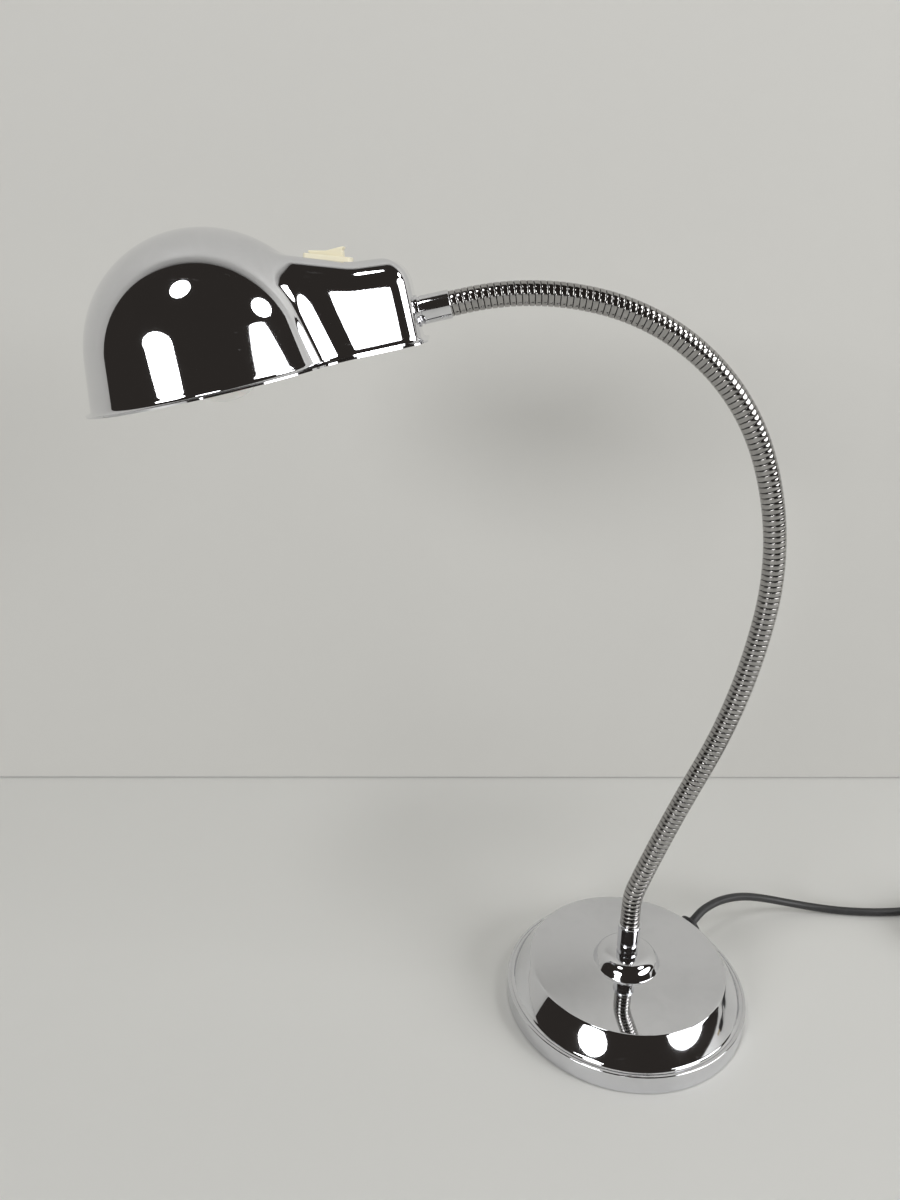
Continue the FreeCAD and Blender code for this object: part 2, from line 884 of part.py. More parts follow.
def flex_route():
    """The flex inside the lamp, from the gland across the base and up the neck to the head."""
    place, outward = gland_axis()
    radius = math.hypot(place.x, place.y)
    across = [
        place,
        place - outward * (gland_body_depth + 2.0),
        polar(radius - 15.5, gland_angle, flex_height + 3.1),
        polar(clamp_place + clamp_length, gland_angle, flex_height + 0.1),
        polar(clamp_place - clamp_length - 1.0, gland_angle, flex_height - 0.1),
        polar(9.0, gland_angle, flex_height + 4.0),
        V(0, 0, plateau_height - 5.0),
    ]
    steps = 2 * link_count
    first, pitch = hinge_spacing()
    neck = [neck_at(first + pitch * i / 2)[0] for i in range(steps + 1)]
    seat, along = neck_at(neck_length())
    into_holder = head_ferrule_length + box_rear - bracket_front + bracket_thickness + 4.0
    return across + neck + [seat + along * into_holder]


LEAD_POINTS = [
    V(64.2, 52.9, 26.2),
    V(77.5, 62.3, 26.0),
    V(94.9, 71.2, 22.5),
    V(112.3, 78.0, 16.0),
    V(133.1, 82.4, 8.6),
    V(153.7, 83.1, 4.0),
    V(173.4, 80.9, 2.75),
    V(195.1, 79.4, 2.75),
    V(217.2, 80.4, 2.75),
    V(246.0, 80.0, 2.75),
]

TAIL_POINTS = [
    V(296.2, 36.0, 12.8),
    V(293.8, 24.0, 11.0),
    V(290.2, 12.0, 8.6),
    V(286.5, 1.0, 7.0),
    V(284.0, -6.0, 6.5),
    V(283.0, -12.0, 6.5),
]


def gland():
    """The bush in the base's flank: a flat flange outside, with a short sleeve round the lead."""
    place, outward = gland_axis()
    bush = turned(sharp([
        (flex_radius, -gland_body_depth),
        (gland_body_radius, -gland_body_depth),
        (gland_body_radius, 0),
        (gland_flange_radius, 0),
        (gland_flange_radius, gland_flange_thickness - 0.5),
        (gland_flange_radius - 0.5, gland_flange_thickness),
        (gland_sleeve_radius, gland_flange_thickness),
        (lead_radius + 0.4, gland_sleeve_length),
        (lead_radius, gland_sleeve_length),
        (lead_radius, 0),
        (flex_radius, 0),
    ]))
    return aim(bush, place, outward)


def mains_lead():
    place, outward = gland_axis()
    points = [place, place + outward * lead_start_length] + LEAD_POINTS
    solid = cord(points, lead_radius)
    report_cord("mains_lead", points, lead_radius, solid)
    return solid


def lead_tail():
    solid = cord(TAIL_POINTS, lead_radius)
    report_cord("lead_tail", TAIL_POINTS, lead_radius, solid)
    return solid


def coil_ring(growth, low):
    """The bundle's outer shape, grown by an amount, with its underside at a height."""
    half = coil_layers * lead_radius + growth
    top = 2 * coil_layers * lead_radius + growth
    section = [
        (coil_mid_radius - half, low, 0),
        (coil_mid_radius + half, low, 0),
        (coil_mid_radius + half, top, 2.0),
        (coil_mid_radius - half, top, 2.0),
    ]
    return turned(section).translated(coil_centre)


def lead_coil(tie):
    """The spare lead as one bundle, pinched by its tie. Both ends of the lead sink into it."""
    return coil_ring(0, 0).cut(tie)


def coil_tie():
    """A strap that bites into the bundle on the side towards the lamp."""
    band = coil_ring(tie_thickness - tie_bite, 0).cut(coil_ring(-tie_bite, tie_thickness))
    reach = 4 * coil_layers * lead_radius
    near = block(reach, tie_width, reach, coil_centre + V(-coil_mid_radius, 0, reach / 2))
    return band.common(near)


def plug_frame(shape):
    """Puts a plug drawn along Z from its cord end at the end of the lead's tail."""
    end = TAIL_POINTS[-1]
    along = (end - TAIL_POINTS[-2]).normalize()
    along = V(along.x, along.y, 0).normalize()
    across = Z.cross(along)
    turn = FreeCAD.Rotation(across, Z, along)
    return shape.transformed(FreeCAD.Placement(end, turn).toMatrix())


def plug_body():
    start = plug_sleeve_length
    waist = start + plug_length * 0.45
    end = start + plug_length
    wire = rounded_wire([
        (-plug_nose_width / 2 + 3.5, start, 0),
        (plug_nose_width / 2 - 3.5, start, 0),
        (plug_width / 2, waist, 5.0),
        (plug_width / 2, end, 1.5),
        (-plug_width / 2, end, 1.5),
        (-plug_width / 2, waist, 5.0),
    ], lambda p: V(p.x, -plug_height / 2, p.y))
    body = Part.Face(wire).extrude(Y * plug_height)
    sleeve = Part.makeCone(lead_radius + 0.7, plug_nose_width / 2 - 3.6, plug_sleeve_length + 2.0)
    whole = body.fuse(sleeve).removeSplitter()
    return plug_frame(whole)


def plug_pins():
    pins = []
    for side in (-1, 1):
        foot = V(side * pin_spacing / 2, 0, plug_sleeve_length + plug_length)
        pins.append(cylinder(pin_radius, pin_length, foot))
    return plug_frame(Part.makeCompound(pins))


def cord_clamp():
    """A saddle over the flex in the ballast's slot, standing on the base plate."""
    inner = flex_radius + clamp_gap
    outer = inner + clamp_wall
    start = clamp_place - clamp_length / 2
    rise = flex_height - plate_top()
    saddle = Part.makeBox(clamp_length, 2 * outer, rise + outer, V(start, -outer, plate_top()))
    groove = Part.makeBox(clamp_length, 2 * inner, rise + inner, V(start, -inner, plate_top()))
    return saddle.cut(groove).rotate(ORIGIN, Z, gland_angle)


def head_frame():
    """Where the neck's end puts the shade's frame."""
    end, along = neck_at(neck_length())
    slope = math.atan2(-along.z, -along.x)
    turn = FreeCAD.Rotation(Y, -math.degrees(slope))
    offset = turn.multVec(V(box_rear + head_ferrule_length, 0, neck_axis_height))
    return FreeCAD.Placement(end - offset, turn)


def in_head(shape):
    return shape.transformed(head_frame().toMatrix())


def build_base():
    boss_top = plateau_height + boss_height
    under = boss_top - shell_wall
    export("base_shell", base_shell())
    export("shell_posts", shell_posts())
    export("ballast_weight", ballast_weight())
    export("base_plate", base_plate())
    export("foot_pad", foot_pad())
    export("base_screws", base_screws())
    export("cord_clamp", cord_clamp())
    export("stem_washer", flat_washer().translated(V(0, 0, under - washer_thickness)))
    nut = hexagon(nut_across_flats, nut_thickness, tube_thread_radius)
    nut_foot = under - washer_thickness - nut_thickness
    export("stem_nut", nut.translated(V(0, 0, nut_foot)))
    length = boss_top + foot_ferrule_length - hose_seat_depth - nut_foot + 1.0
    export("stem_tube", threaded_tube(length).translated(V(0, 0, nut_foot - 1.0)))
    export("foot_ferrule", foot_ferrule().translated(V(0, 0, boss_top)))


def build_neck():
    centres = hinge_points()
    floor = plateau_height + boss_height + foot_ferrule_length - hose_seat_depth
    export("neck_foot_end", neck_foot_end(floor, centres[0]))
    for i in range(link_count):
        export("neck_link_%02d" % (i + 1), link_between(centres[i], centres[i + 1]))
    end, along = neck_at(neck_length())
    export("neck_top_end", neck_top_end(centres[-1], end + along * hose_seat_depth, along))
    export("inner_flex", cord(flex_route(), flex_radius))


def build_head():
    export("shade", in_head(shade()))
    ferrule = aim(head_ferrule(), on_neck_axis(box_rear), X)
    export("head_ferrule", in_head(ferrule))
    nut_x = rear_inside() - bracket_thickness
    nut = hexagon(nut_across_flats, nut_thickness, tube_thread_radius)
    export("head_nut", in_head(aim(nut, on_neck_axis(nut_x), -X)))
    mouth = box_rear + head_ferrule_length - hose_seat_depth
    length = mouth - (nut_x - nut_thickness - 1.0)
    export("head_tube", in_head(aim(threaded_tube(length), on_neck_axis(mouth), -X)))
    export("holder_bracket", in_head(holder_bracket()))
    export("holder_cap", in_head(holder_cap()))
    export("holder_body", in_head(holder_body()))
    export("holder_sleeve", in_head(holder_sleeve()))
    export("holder_contact", in_head(holder_contact()))
    export("bulb_tip", in_head(bulb_tip()))
    export("bulb_insulator", in_head(bulb_insulator()))
    export("bulb_cap", in_head(bulb_cap()))
    export("bulb_glass", in_head(bulb_glass()))
    export("switch_body", in_head(on_seat(switch_body())))
    export("switch_terminals", in_head(on_seat(switch_terminals())))
    export("rocker", in_head(on_seat(rocker())))


def build_lead():
    tie = coil_tie()
    export("lead_gland", gland())
    export("mains_lead", mains_lead())
    export("lead_coil", lead_coil(tie))
    export("coil_tie", tie)
    export("lead_tail", lead_tail())
    export("plug_body", plug_body())
    export("plug_pins", plug_pins())


build_base()
build_neck()
build_head()
build_lead()
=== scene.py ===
"""A desk lamp on a flexible neck, dressed over its frame. Metres, +Z up, origin under the base."""

import json
import math

import bmesh
import bpy
import numpy as np
from mathutils import Matrix, Vector

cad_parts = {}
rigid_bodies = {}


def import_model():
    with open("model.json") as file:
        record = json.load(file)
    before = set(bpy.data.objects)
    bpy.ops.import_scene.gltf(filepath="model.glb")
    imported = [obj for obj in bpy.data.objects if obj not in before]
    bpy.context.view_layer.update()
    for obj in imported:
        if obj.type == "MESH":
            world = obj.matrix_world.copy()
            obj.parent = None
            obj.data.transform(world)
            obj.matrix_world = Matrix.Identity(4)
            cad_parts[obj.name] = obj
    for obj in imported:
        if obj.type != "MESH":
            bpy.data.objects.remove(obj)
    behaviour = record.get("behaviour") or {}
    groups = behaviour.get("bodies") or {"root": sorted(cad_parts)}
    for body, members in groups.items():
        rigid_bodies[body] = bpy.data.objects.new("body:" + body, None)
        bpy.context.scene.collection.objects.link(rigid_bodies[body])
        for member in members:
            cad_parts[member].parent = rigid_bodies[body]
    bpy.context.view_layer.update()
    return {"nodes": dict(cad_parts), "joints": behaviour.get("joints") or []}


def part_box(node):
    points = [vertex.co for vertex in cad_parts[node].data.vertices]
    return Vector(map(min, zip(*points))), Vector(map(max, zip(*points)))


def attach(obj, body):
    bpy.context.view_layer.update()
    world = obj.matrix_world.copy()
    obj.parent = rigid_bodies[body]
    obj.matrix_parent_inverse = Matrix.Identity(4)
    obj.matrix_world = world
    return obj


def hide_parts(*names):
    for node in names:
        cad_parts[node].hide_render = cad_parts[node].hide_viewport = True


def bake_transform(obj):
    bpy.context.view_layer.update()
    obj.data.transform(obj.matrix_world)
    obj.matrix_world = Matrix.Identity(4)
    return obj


bl_info = {
    "name": "Flexible Desk Lamp",
    "version": (1, 0, 0),
    "blender": (4, 5, 0),
    "location": "View3D > Sidebar > Lamp",
    "description": "Builds the looks of a desk lamp with a flexible neck",
    "category": "Add Mesh",
}

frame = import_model()
NODES = frame["nodes"]
MM = 0.001
NECK_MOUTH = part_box("foot_ferrule")[1].z - 0.0005
HEAD_FERRULE = 0.0165
NECK_AXIS_HEIGHT = 0.014
TUBE_HOLE = 0.0051
SWITCH_OPENING = (0.00975, 0.00655)

# The neck's centreline at rest, from the mouth of the foot ferrule, as lengths and turns
NECK_BENDS = [
    (0.0135, 0.0),
    (0.014, -18.0),
    (0.089, -4.5),
    (0.1005, 16.4),
    (0.0895, 28.4),
    (0.1184, 54.4),
    (0.0675, 25.8),
    (0.008, 0.0),
]

# The lead's route: out of the gland, down to the table and along it
LEAD_ROUTE = [
    (0.0513, 0.0415, 0.0213),
    (0.0576, 0.0466, 0.0252),
    (0.0642, 0.0529, 0.0262),
    (0.0775, 0.0623, 0.0260),
    (0.0949, 0.0712, 0.0225),
    (0.1123, 0.0780, 0.0160),
    (0.1331, 0.0824, 0.0086),
    (0.1537, 0.0831, 0.0040),
    (0.1734, 0.0809, 0.00275),
    (0.1951, 0.0794, 0.00275),
    (0.2172, 0.0806, 0.00275),
    (0.2360, 0.0834, 0.00275),
    (0.2490, 0.0851, 0.00275),
]

# From the bundle's top turn down to the plug
TAIL_ROUTE = [
    (0.2962, 0.0360, 0.0128),
    (0.2938, 0.0240, 0.0110),
    (0.2902, 0.0120, 0.0086),
    (0.2865, 0.0010, 0.0070),
    (0.2840, -0.0060, 0.0065),
    (0.2830, -0.0120, 0.0065),
]


# Settings


class LampStage(bpy.types.PropertyGroup):
    lens: bpy.props.FloatProperty(name="Lens", description="Focal length", default=26.885, unit="CAMERA")
    camera_place: bpy.props.FloatVectorProperty(
        name="Camera",
        description="Where the camera stands",
        default=(-0.114945, -0.458042, 0.441598),
        subtype="XYZ",
    )
    camera_drop: bpy.props.FloatProperty(
        name="Drop",
        description="How far the camera looks down",
        default=math.radians(20.268),
        subtype="ANGLE",
    )
    camera_roll: bpy.props.FloatProperty(
        name="Roll", description="How far the camera leans", default=0.01033, subtype="ANGLE"
    )
    wall_distance: bpy.props.FloatProperty(
        name="Wall", description="How far behind the lamp the wall is", default=0.265, unit="LENGTH"
    )
    wall_turn: bpy.props.FloatProperty(
        name="Turn",
        description="How far the wall is turned from the lamp's plane",
        default=math.radians(1.05),
        subtype="ANGLE",
    )
    wall_gap: bpy.props.FloatProperty(
        name="Gap", description="Dark gap between the table and the wall", default=0.0012, unit="LENGTH"
    )
    table_colour: bpy.props.FloatVectorProperty(
        name="Table", description="Colour of the table top", default=(0.74, 0.74, 0.715), subtype="COLOR"
    )
    wall_colour: bpy.props.FloatVectorProperty(
        name="Wall colour", description="Colour of the wall", default=(0.60, 0.595, 0.57), subtype="COLOR"
    )
    room_colour: bpy.props.FloatVectorProperty(
        name="Room",
        description="Colour of the unlit room behind the camera",
        default=(0.030, 0.026, 0.023),
        subtype="COLOR",
    )


class LampShade(bpy.types.PropertyGroup):
    crown_height: bpy.props.FloatProperty(
        name="Crown", description="Height of the dome", default=0.0735, unit="LENGTH"
    )
    dome_radius: bpy.props.FloatProperty(
        name="Dome", description="Radius of the dome", default=0.0604, unit="LENGTH"
    )
    skirt_draft: bpy.props.FloatProperty(
        name="Draft", description="How far the skirt leans out", default=math.radians(11.5), subtype="ANGLE"
    )
    half_width: bpy.props.FloatProperty(
        name="Half width", description="Half the box's width", default=0.0228, unit="LENGTH"
    )
    rear: bpy.props.FloatProperty(
        name="Rear", description="How far back the box ends", default=0.1035, unit="LENGTH"
    )
    rear_height: bpy.props.FloatProperty(
        name="Rear height", description="Roof height at the rear", default=0.040, unit="LENGTH"
    )
    seat_front: bpy.props.FloatProperty(
        name="Seat front", description="Where the switch's seat starts", default=0.050, unit="LENGTH"
    )
    seat_front_height: bpy.props.FloatProperty(
        name="Seat front height",
        description="Roof height where the seat starts",
        default=0.0511,
        unit="LENGTH",
    )
    seat_rear: bpy.props.FloatProperty(
        name="Seat rear", description="Where the switch's seat ends", default=0.0785, unit="LENGTH"
    )
    seat_rear_height: bpy.props.FloatProperty(
        name="Seat rear height", description="Roof height where the seat ends", default=0.0421, unit="LENGTH"
    )
    corner_radius: bpy.props.FloatProperty(
        name="Corners", description="Rounding of the box's upright corners", default=0.008, unit="LENGTH"
    )
    edge_radius: bpy.props.FloatProperty(
        name="Edges", description="Rounding round the box's roof", default=0.0125, unit="LENGTH"
    )
    valley_radius: bpy.props.FloatProperty(
        name="Valley", description="Rounding where the dome meets the box", default=0.018, unit="LENGTH"
    )
    wall: bpy.props.FloatProperty(
        name="Wall", description="Thickness of the sheet", default=0.0008, unit="LENGTH"
    )
    lip: bpy.props.FloatProperty(
        name="Lip", description="How far the rim turns out", default=0.0028, unit="LENGTH"
    )
    lip_radius: bpy.props.FloatProperty(
        name="Lip radius", description="Bend where the rim turns out", default=0.0022, unit="LENGTH"
    )
    columns: bpy.props.IntProperty(name="Columns", description="Steps round the rim", default=360)


class LampHose(bpy.types.PropertyGroup):
    radius: bpy.props.FloatProperty(
        name="Radius", description="Outer radius of the hose", default=0.006, unit="LENGTH"
    )
    pitch: bpy.props.FloatProperty(
        name="Pitch", description="Height of one turn", default=0.00311, unit="LENGTH"
    )
    turns: bpy.props.IntProperty(
        name="Turns", description="Turns from one bending centre to the next", default=13
    )
    groove: bpy.props.FloatProperty(
        name="Groove", description="Depth of the groove between turns", default=0.00075, unit="LENGTH"
    )
    facets: bpy.props.IntProperty(name="Facets", description="Steps in one turn", default=48)


class LampLead(bpy.types.PropertyGroup):
    radius: bpy.props.FloatProperty(
        name="Radius", description="Half the lead's thickness", default=0.00275, unit="LENGTH"
    )
    length: bpy.props.FloatProperty(
        name="Length", description="Whole length of the lead", default=1.87, unit="LENGTH"
    )
    coil_radius: bpy.props.FloatProperty(
        name="Coil", description="Radius of the spare turns at their middle", default=0.030, unit="LENGTH"
    )


class LampColours(bpy.types.PropertyGroup):
    chrome: bpy.props.FloatVectorProperty(
        name="Chrome",
        description="Colour of the polished plating",
        default=(0.75, 0.753, 0.775),
        subtype="COLOR",
    )
    # Painted shade: the hose's plating gets a darker, warmer colour than the other chrome, standing in for
    # its dimmer reflections.
    strip: bpy.props.FloatVectorProperty(
        name="Strip",
        description="Colour of the hose's plated strip",
        default=(0.43, 0.42, 0.41),
        subtype="COLOR",
    )
    cream: bpy.props.FloatVectorProperty(
        name="Cream", description="Colour of the switch", default=(0.84, 0.785, 0.60), subtype="COLOR"
    )
    lead: bpy.props.FloatVectorProperty(
        name="Lead", description="Colour of the mains lead", default=(0.024, 0.024, 0.025), subtype="COLOR"
    )


# Materials


class Term:
    """A value or colour inside a material. Arithmetic on it adds the nodes that work it out."""

    def __init__(self, finish, socket):
        self.finish = finish
        self.socket = socket

    def maths(self, operation, first, second=0.0):
        return self.finish.node("ShaderNodeMath", {"operation": operation}, {0: first, 1: second})

    def __add__(self, other):
        return self.maths("ADD", self, other)

    __radd__ = __add__

    def __sub__(self, other):
        return self.maths("SUBTRACT", self, other)

    def __rsub__(self, other):
        return self.maths("SUBTRACT", other, self)

    def __mul__(self, other):
        return self.maths("MULTIPLY", self, other)

    __rmul__ = __mul__


class Finish:
    """A material under construction around one principled shader."""

    def __init__(self, name):
        self.material = bpy.data.materials.new(name)
        self.material.use_nodes = True
        self.tree = self.material.node_tree
        self.shader = self.tree.nodes["Principled BSDF"]

    def feed(self, socket, value):
        if isinstance(value, Term):
            self.tree.links.new(value.socket, socket)
        else:
            socket.default_value = value

    def node(self, kind, settings=None, inputs=None, output=0):
        made = self.tree.nodes.new(kind)
        for key, value in (settings or {}).items():
            setattr(made, key, value)
        for key, value in (inputs or {}).items():
            self.feed(made.inputs[key], value)
        return Term(self, made.outputs[output])

    def place(self):
        return self.node("ShaderNodeTexCoord", output="Object")

    def noise(self, scale, detail=4.0, roughness=0.5, vector=None, distortion=0.0):
        inputs = {"Scale": scale, "Detail": detail, "Roughness": roughness, "Distortion": distortion}
        inputs["Vector"] = vector or self.place()
        return self.node("ShaderNodeTexNoise", None, inputs, "Fac")

    def step(self, value, low, high):
        """0 below low, 1 above high and straight between."""
        inputs = {"Value": value, "From Min": low, "From Max": high}
        return self.node("ShaderNodeMapRange", {"clamp": True}, inputs, "Result")

    def mix(self, share, first, second):
        made = self.tree.nodes.new("ShaderNodeMix")
        made.data_type = "RGBA"
        self.feed(made.inputs["Factor"], share)
        self.feed(made.inputs[6], first if isinstance(first, Term) else (*first, 1.0))
        self.feed(made.inputs[7], second if isinstance(second, Term) else (*second, 1.0))
        return Term(self, made.outputs[2])

    def bump(self, height, strength, distance, normal=None):
        inputs = {"Height": height, "Strength": strength, "Distance": distance}
        if normal is not None:
            inputs["Normal"] = normal
        return self.node("ShaderNodeBump", None, inputs, "Normal")

    def clear_behind(self):
        """Lets everything through from the surface's back."""
        back = self.node("ShaderNodeNewGeometry", output="Backfacing")
        clear = self.node("ShaderNodeBsdfTransparent", output="BSDF")
        blend = self.tree.nodes.new("ShaderNodeMixShader")
        self.feed(blend.inputs["Fac"], back)
        self.tree.links.new(self.shader.outputs["BSDF"], blend.inputs[1])
        self.feed(blend.inputs[2], clear)
        output = self.tree.nodes["Material Output"]
        self.tree.links.new(blend.outputs["Shader"], output.inputs["Surface"])

    def attribute(self, name):
        return self.node("ShaderNodeAttribute", {"attribute_name": name}, None, "Fac")

    def set(self, **values):
        for key, value in values.items():
            socket = self.shader.inputs[key.replace("_", " ")]
            if not isinstance(value, Term) and socket.type == "RGBA":
                value = (*value[:3], 1.0)
            self.feed(socket, value)
        return self.material


def shade_of(colour, factor):
    return tuple(min(1.0, c * factor) for c in colour)


def polished_chrome(name, colour, haze=0.035, wear=1.0):
    """Plated steel: nearly a mirror, with faint wiping marks, handling haze and fine scratches."""
    f = Finish(name)
    wipes = f.noise(14.0, 3.0, 0.6)
    smears = f.noise(55.0, 5.0, 0.65, distortion=1.2)
    stretched = f.node(
        "ShaderNodeMapping",
        {"vector_type": "POINT"},
        {"Vector": f.place(), "Rotation": (0.3, 0.9, 0.2), "Scale": (35.0, 900.0, 420.0)},
    )
    hairs = f.step(f.noise(1.0, 2.0, 0.5, vector=stretched), 0.69, 0.74)
    dull = f.step(wipes * 0.55 + smears * 0.45, 0.46, 0.68)
    roughness = haze + dull * (0.05 * wear) + hairs * (0.09 * wear)
    tone = f.mix(dull, colour, shade_of(colour, 0.93))
    wave = f.noise(22.0, 1.0, 0.4)
    return f.set(
        Base_Color=tone,
        Metallic=1.0,
        Roughness=roughness,
        Normal=f.bump(wave, 0.05, 0.0006),
    )


def hose_chrome(name, colour):
    """The strip of the hose: bright crowns and dull grooves between the turns, with painted shade, a
    near-black colour, in the grooves.
    """
    f = Finish(name)
    crown = f.attribute("crown")
    grime_and_shade_jitter = f.noise(900.0, 3.0, 0.6)
    streaks = f.noise(160.0, 3.0, 0.5)
    # The noise roughens the grooves and also jitters the edge of the painted groove shade.
    open_face = f.step(crown + grime_and_shade_jitter * 0.08, 0.34, 0.62)
    bright = f.mix(f.step(streaks, 0.3, 0.75), colour, shade_of(colour, 0.86))
    return f.set(
        # Painted shade: the grooves get a near-black colour where shade falls between the turns.
        Base_Color=f.mix(open_face, (0.035, 0.034, 0.033), bright),
        Metallic=1.0,
        Roughness=0.42 - open_face * 0.33 + grime_and_shade_jitter * 0.05,
        Normal=f.bump(streaks, 0.04, 0.00005),
    )


def moulded_plastic(name, colour, roughness, grain=2600.0, strength=0.12):
    """Moulded plastic with a fine spark grain and slight clouding."""
    f = Finish(name)
    cloud = f.noise(38.0, 3.0, 0.55)
    fine = f.noise(grain, 2.0, 0.5)
    return f.set(
        Base_Color=f.mix(cloud, shade_of(colour, 0.94), shade_of(colour, 1.05)),
        Roughness=roughness + cloud * 0.08 + fine * 0.05,
        Normal=f.bump(fine, strength, 0.00008),
        Specular_IOR_Level=0.5,
    )


def lead_sheath(name, colour):
    """The lead's soft sheath: satin, with faint drawing marks and table dust."""
    f = Finish(name)
    dust = f.step(f.noise(240.0, 4.0, 0.6), 0.5, 0.75)
    grain = f.noise(1500.0, 2.0, 0.5)
    return f.set(
        Base_Color=f.mix(dust, colour, shade_of(colour, 1.5)),
        Roughness=0.38 + dust * 0.18 + grain * 0.06,
        Normal=f.bump(grain, 0.15, 0.0001),
    )


def cast_iron(name):
    f = Finish(name)
    grain = f.noise(700.0, 6.0, 0.7)
    patch = f.noise(60.0, 3.0, 0.5)
    return f.set(
        Base_Color=f.mix(patch, (0.06, 0.058, 0.055), (0.13, 0.125, 0.12)),
        Metallic=0.6,
        Roughness=0.6 + grain * 0.25,
        Normal=f.bump(grain, 0.7, 0.0006),
    )


def zinc_steel(name):
    """Zinc-plated steel with its faint spangle."""
    f = Finish(name)
    inputs = {"Vector": f.place(), "Scale": 260.0}
    spangle = f.node("ShaderNodeTexVoronoi", {"feature": "F1"}, inputs, "Distance")
    soil = f.noise(120.0, 4.0, 0.6)
    return f.set(
        Base_Color=f.mix(soil, (0.52, 0.52, 0.53), (0.68, 0.68, 0.67)),
        Metallic=1.0,
        Roughness=0.26 + spangle * 0.18 + soil * 0.12,
        Normal=f.bump(spangle, 0.08, 0.0002),
    )


def foam(name):
    f = Finish(name)
    cells = f.node(
        "ShaderNodeTexVoronoi", {"feature": "F1"}, {"Vector": f.place(), "Scale": 1400.0}, "Distance"
    )
    return f.set(
        Base_Color=f.mix(cells, (0.012, 0.012, 0.013), (0.045, 0.045, 0.047)),
        Roughness=0.93,
        Normal=f.bump(cells, 0.8, 0.0004),
    )


def brass(name, roughness=0.25):
    f = Finish(name)
    tarnish = f.noise(180.0, 4.0, 0.6)
    return f.set(
        Base_Color=f.mix(tarnish, (0.78, 0.62, 0.30), (0.50, 0.36, 0.17)),
        Metallic=1.0,
        Roughness=roughness + tarnish * 0.2,
        Normal=f.bump(tarnish, 0.1, 0.0001),
    )


def aluminium(name):
    f = Finish(name)
    soil = f.noise(300.0, 4.0, 0.6)
    return f.set(
        Base_Color=f.mix(soil, (0.74, 0.74, 0.75), (0.58, 0.58, 0.57)),
        Metallic=1.0,
        Roughness=0.3 + soil * 0.15,
        Normal=f.bump(soil, 0.1, 0.0001),
    )


def opal_glass(name):
    """A white coated bulb: milky with a glassy skin."""
    f = Finish(name)
    cloud = f.noise(70.0, 2.0, 0.5)
    return f.set(
        Base_Color=f.mix(cloud, (0.88, 0.87, 0.84), (0.93, 0.92, 0.90)),
        Roughness=0.28 + cloud * 0.08,
        Coat_Weight=0.6,
        Coat_Roughness=0.06,
        Subsurface_Weight=0.15,
        Subsurface_Scale=0.004,
    )


def painted(name, colour, roughness, one_sided=False):
    """A stage surface with a slow change of tone. A one-sided one is clear from behind."""
    f = Finish(name)
    slow = f.noise(1.3, 2.0, 0.5)
    if one_sided:
        f.clear_behind()
    return f.set(
        Base_Color=f.mix(slow, shade_of(colour, 0.97), shade_of(colour, 1.02)),
        Roughness=roughness,
        Specular_IOR_Level=0.3,
    )


def dress(node, material):
    """Gives a carried-over node its finish."""
    mesh = NODES[node].data
    mesh.materials.clear()
    mesh.materials.append(material)


# Building


def piece(name, bm, material, smooth=True):
    mesh = bpy.data.meshes.new(name)
    bm.to_mesh(mesh)
    bm.free()
    mesh.materials.append(material)
    if smooth:
        mesh.shade_smooth()
    made = bpy.data.objects.new(name, mesh)
    bpy.context.scene.collection.objects.link(made)
    return made


def keep_edges(made, angle=35.0):
    """Sharp where two faces meet at more than the angle, smooth elsewhere."""
    made.data.set_sharp_from_angle(angle=math.radians(angle))


def aim(foot, along):
    """The matrix that takes Z to along and the origin to foot."""
    return Matrix.Translation(foot) @ Vector(along).to_track_quat("Z", "Y").to_matrix().to_4x4()


def rounded(corners, steps=6):
    """The (a, b) points of a closed outline of (a, b, radius) corners, with its rounded corners as arcs."""
    found = []
    for i, (a, b, radius) in enumerate(corners):
        here = Vector((a, b))
        if radius <= 0:
            found.append(here)
            continue
        before = (Vector(corners[i - 1][:2]) - here).normalized()
        after = (Vector(corners[(i + 1) % len(corners)][:2]) - here).normalized()
        half = before.angle(after) / 2
        centre = here + (before + after).normalized() * radius / math.sin(half)
        start = here + before * radius / math.tan(half) - centre
        turn = (math.pi - 2 * half) * (-1 if start.cross(here - centre) < 0 else 1)
        for step in range(steps + 1):
            c, d = math.cos(turn * step / steps), math.sin(turn * step / steps)
            found.append(centre + Vector((start.x * c - start.y * d, start.x * d + start.y * c)))
    return found


def lathe(name, corners, steps, material, place=None):
    """A closed turned solid from (radius, height, rounding) corners in millimetres."""
    bm = bmesh.new()
    verts = [bm.verts.new((p.x * MM, 0, p.y * MM)) for p in rounded(corners)]
    edges = [bm.edges.new((a, b)) for a, b in zip(verts, verts[1:] + verts[:1])]
    on_axis = [e for e in edges if all(v.co.x < 1e-9 for v in e.verts)]
    bmesh.ops.delete(bm, geom=on_axis, context="EDGES_FACES")
    bmesh.ops.spin(
        bm,
        geom=bm.verts[:] + bm.edges[:],
        cent=(0, 0, 0),
        axis=(0, 0, 1),
        dvec=(0, 0, 0),
        angle=math.tau,
        steps=steps,
        use_merge=True,
    )
    bmesh.ops.remove_doubles(bm, verts=bm.verts, dist=1e-7)
    bmesh.ops.recalc_face_normals(bm, faces=bm.faces)
    if place is not None:
        bmesh.ops.transform(bm, matrix=place, verts=bm.verts)
    made = piece(name, bm, material)
    keep_edges(made, 24.0)
    return made


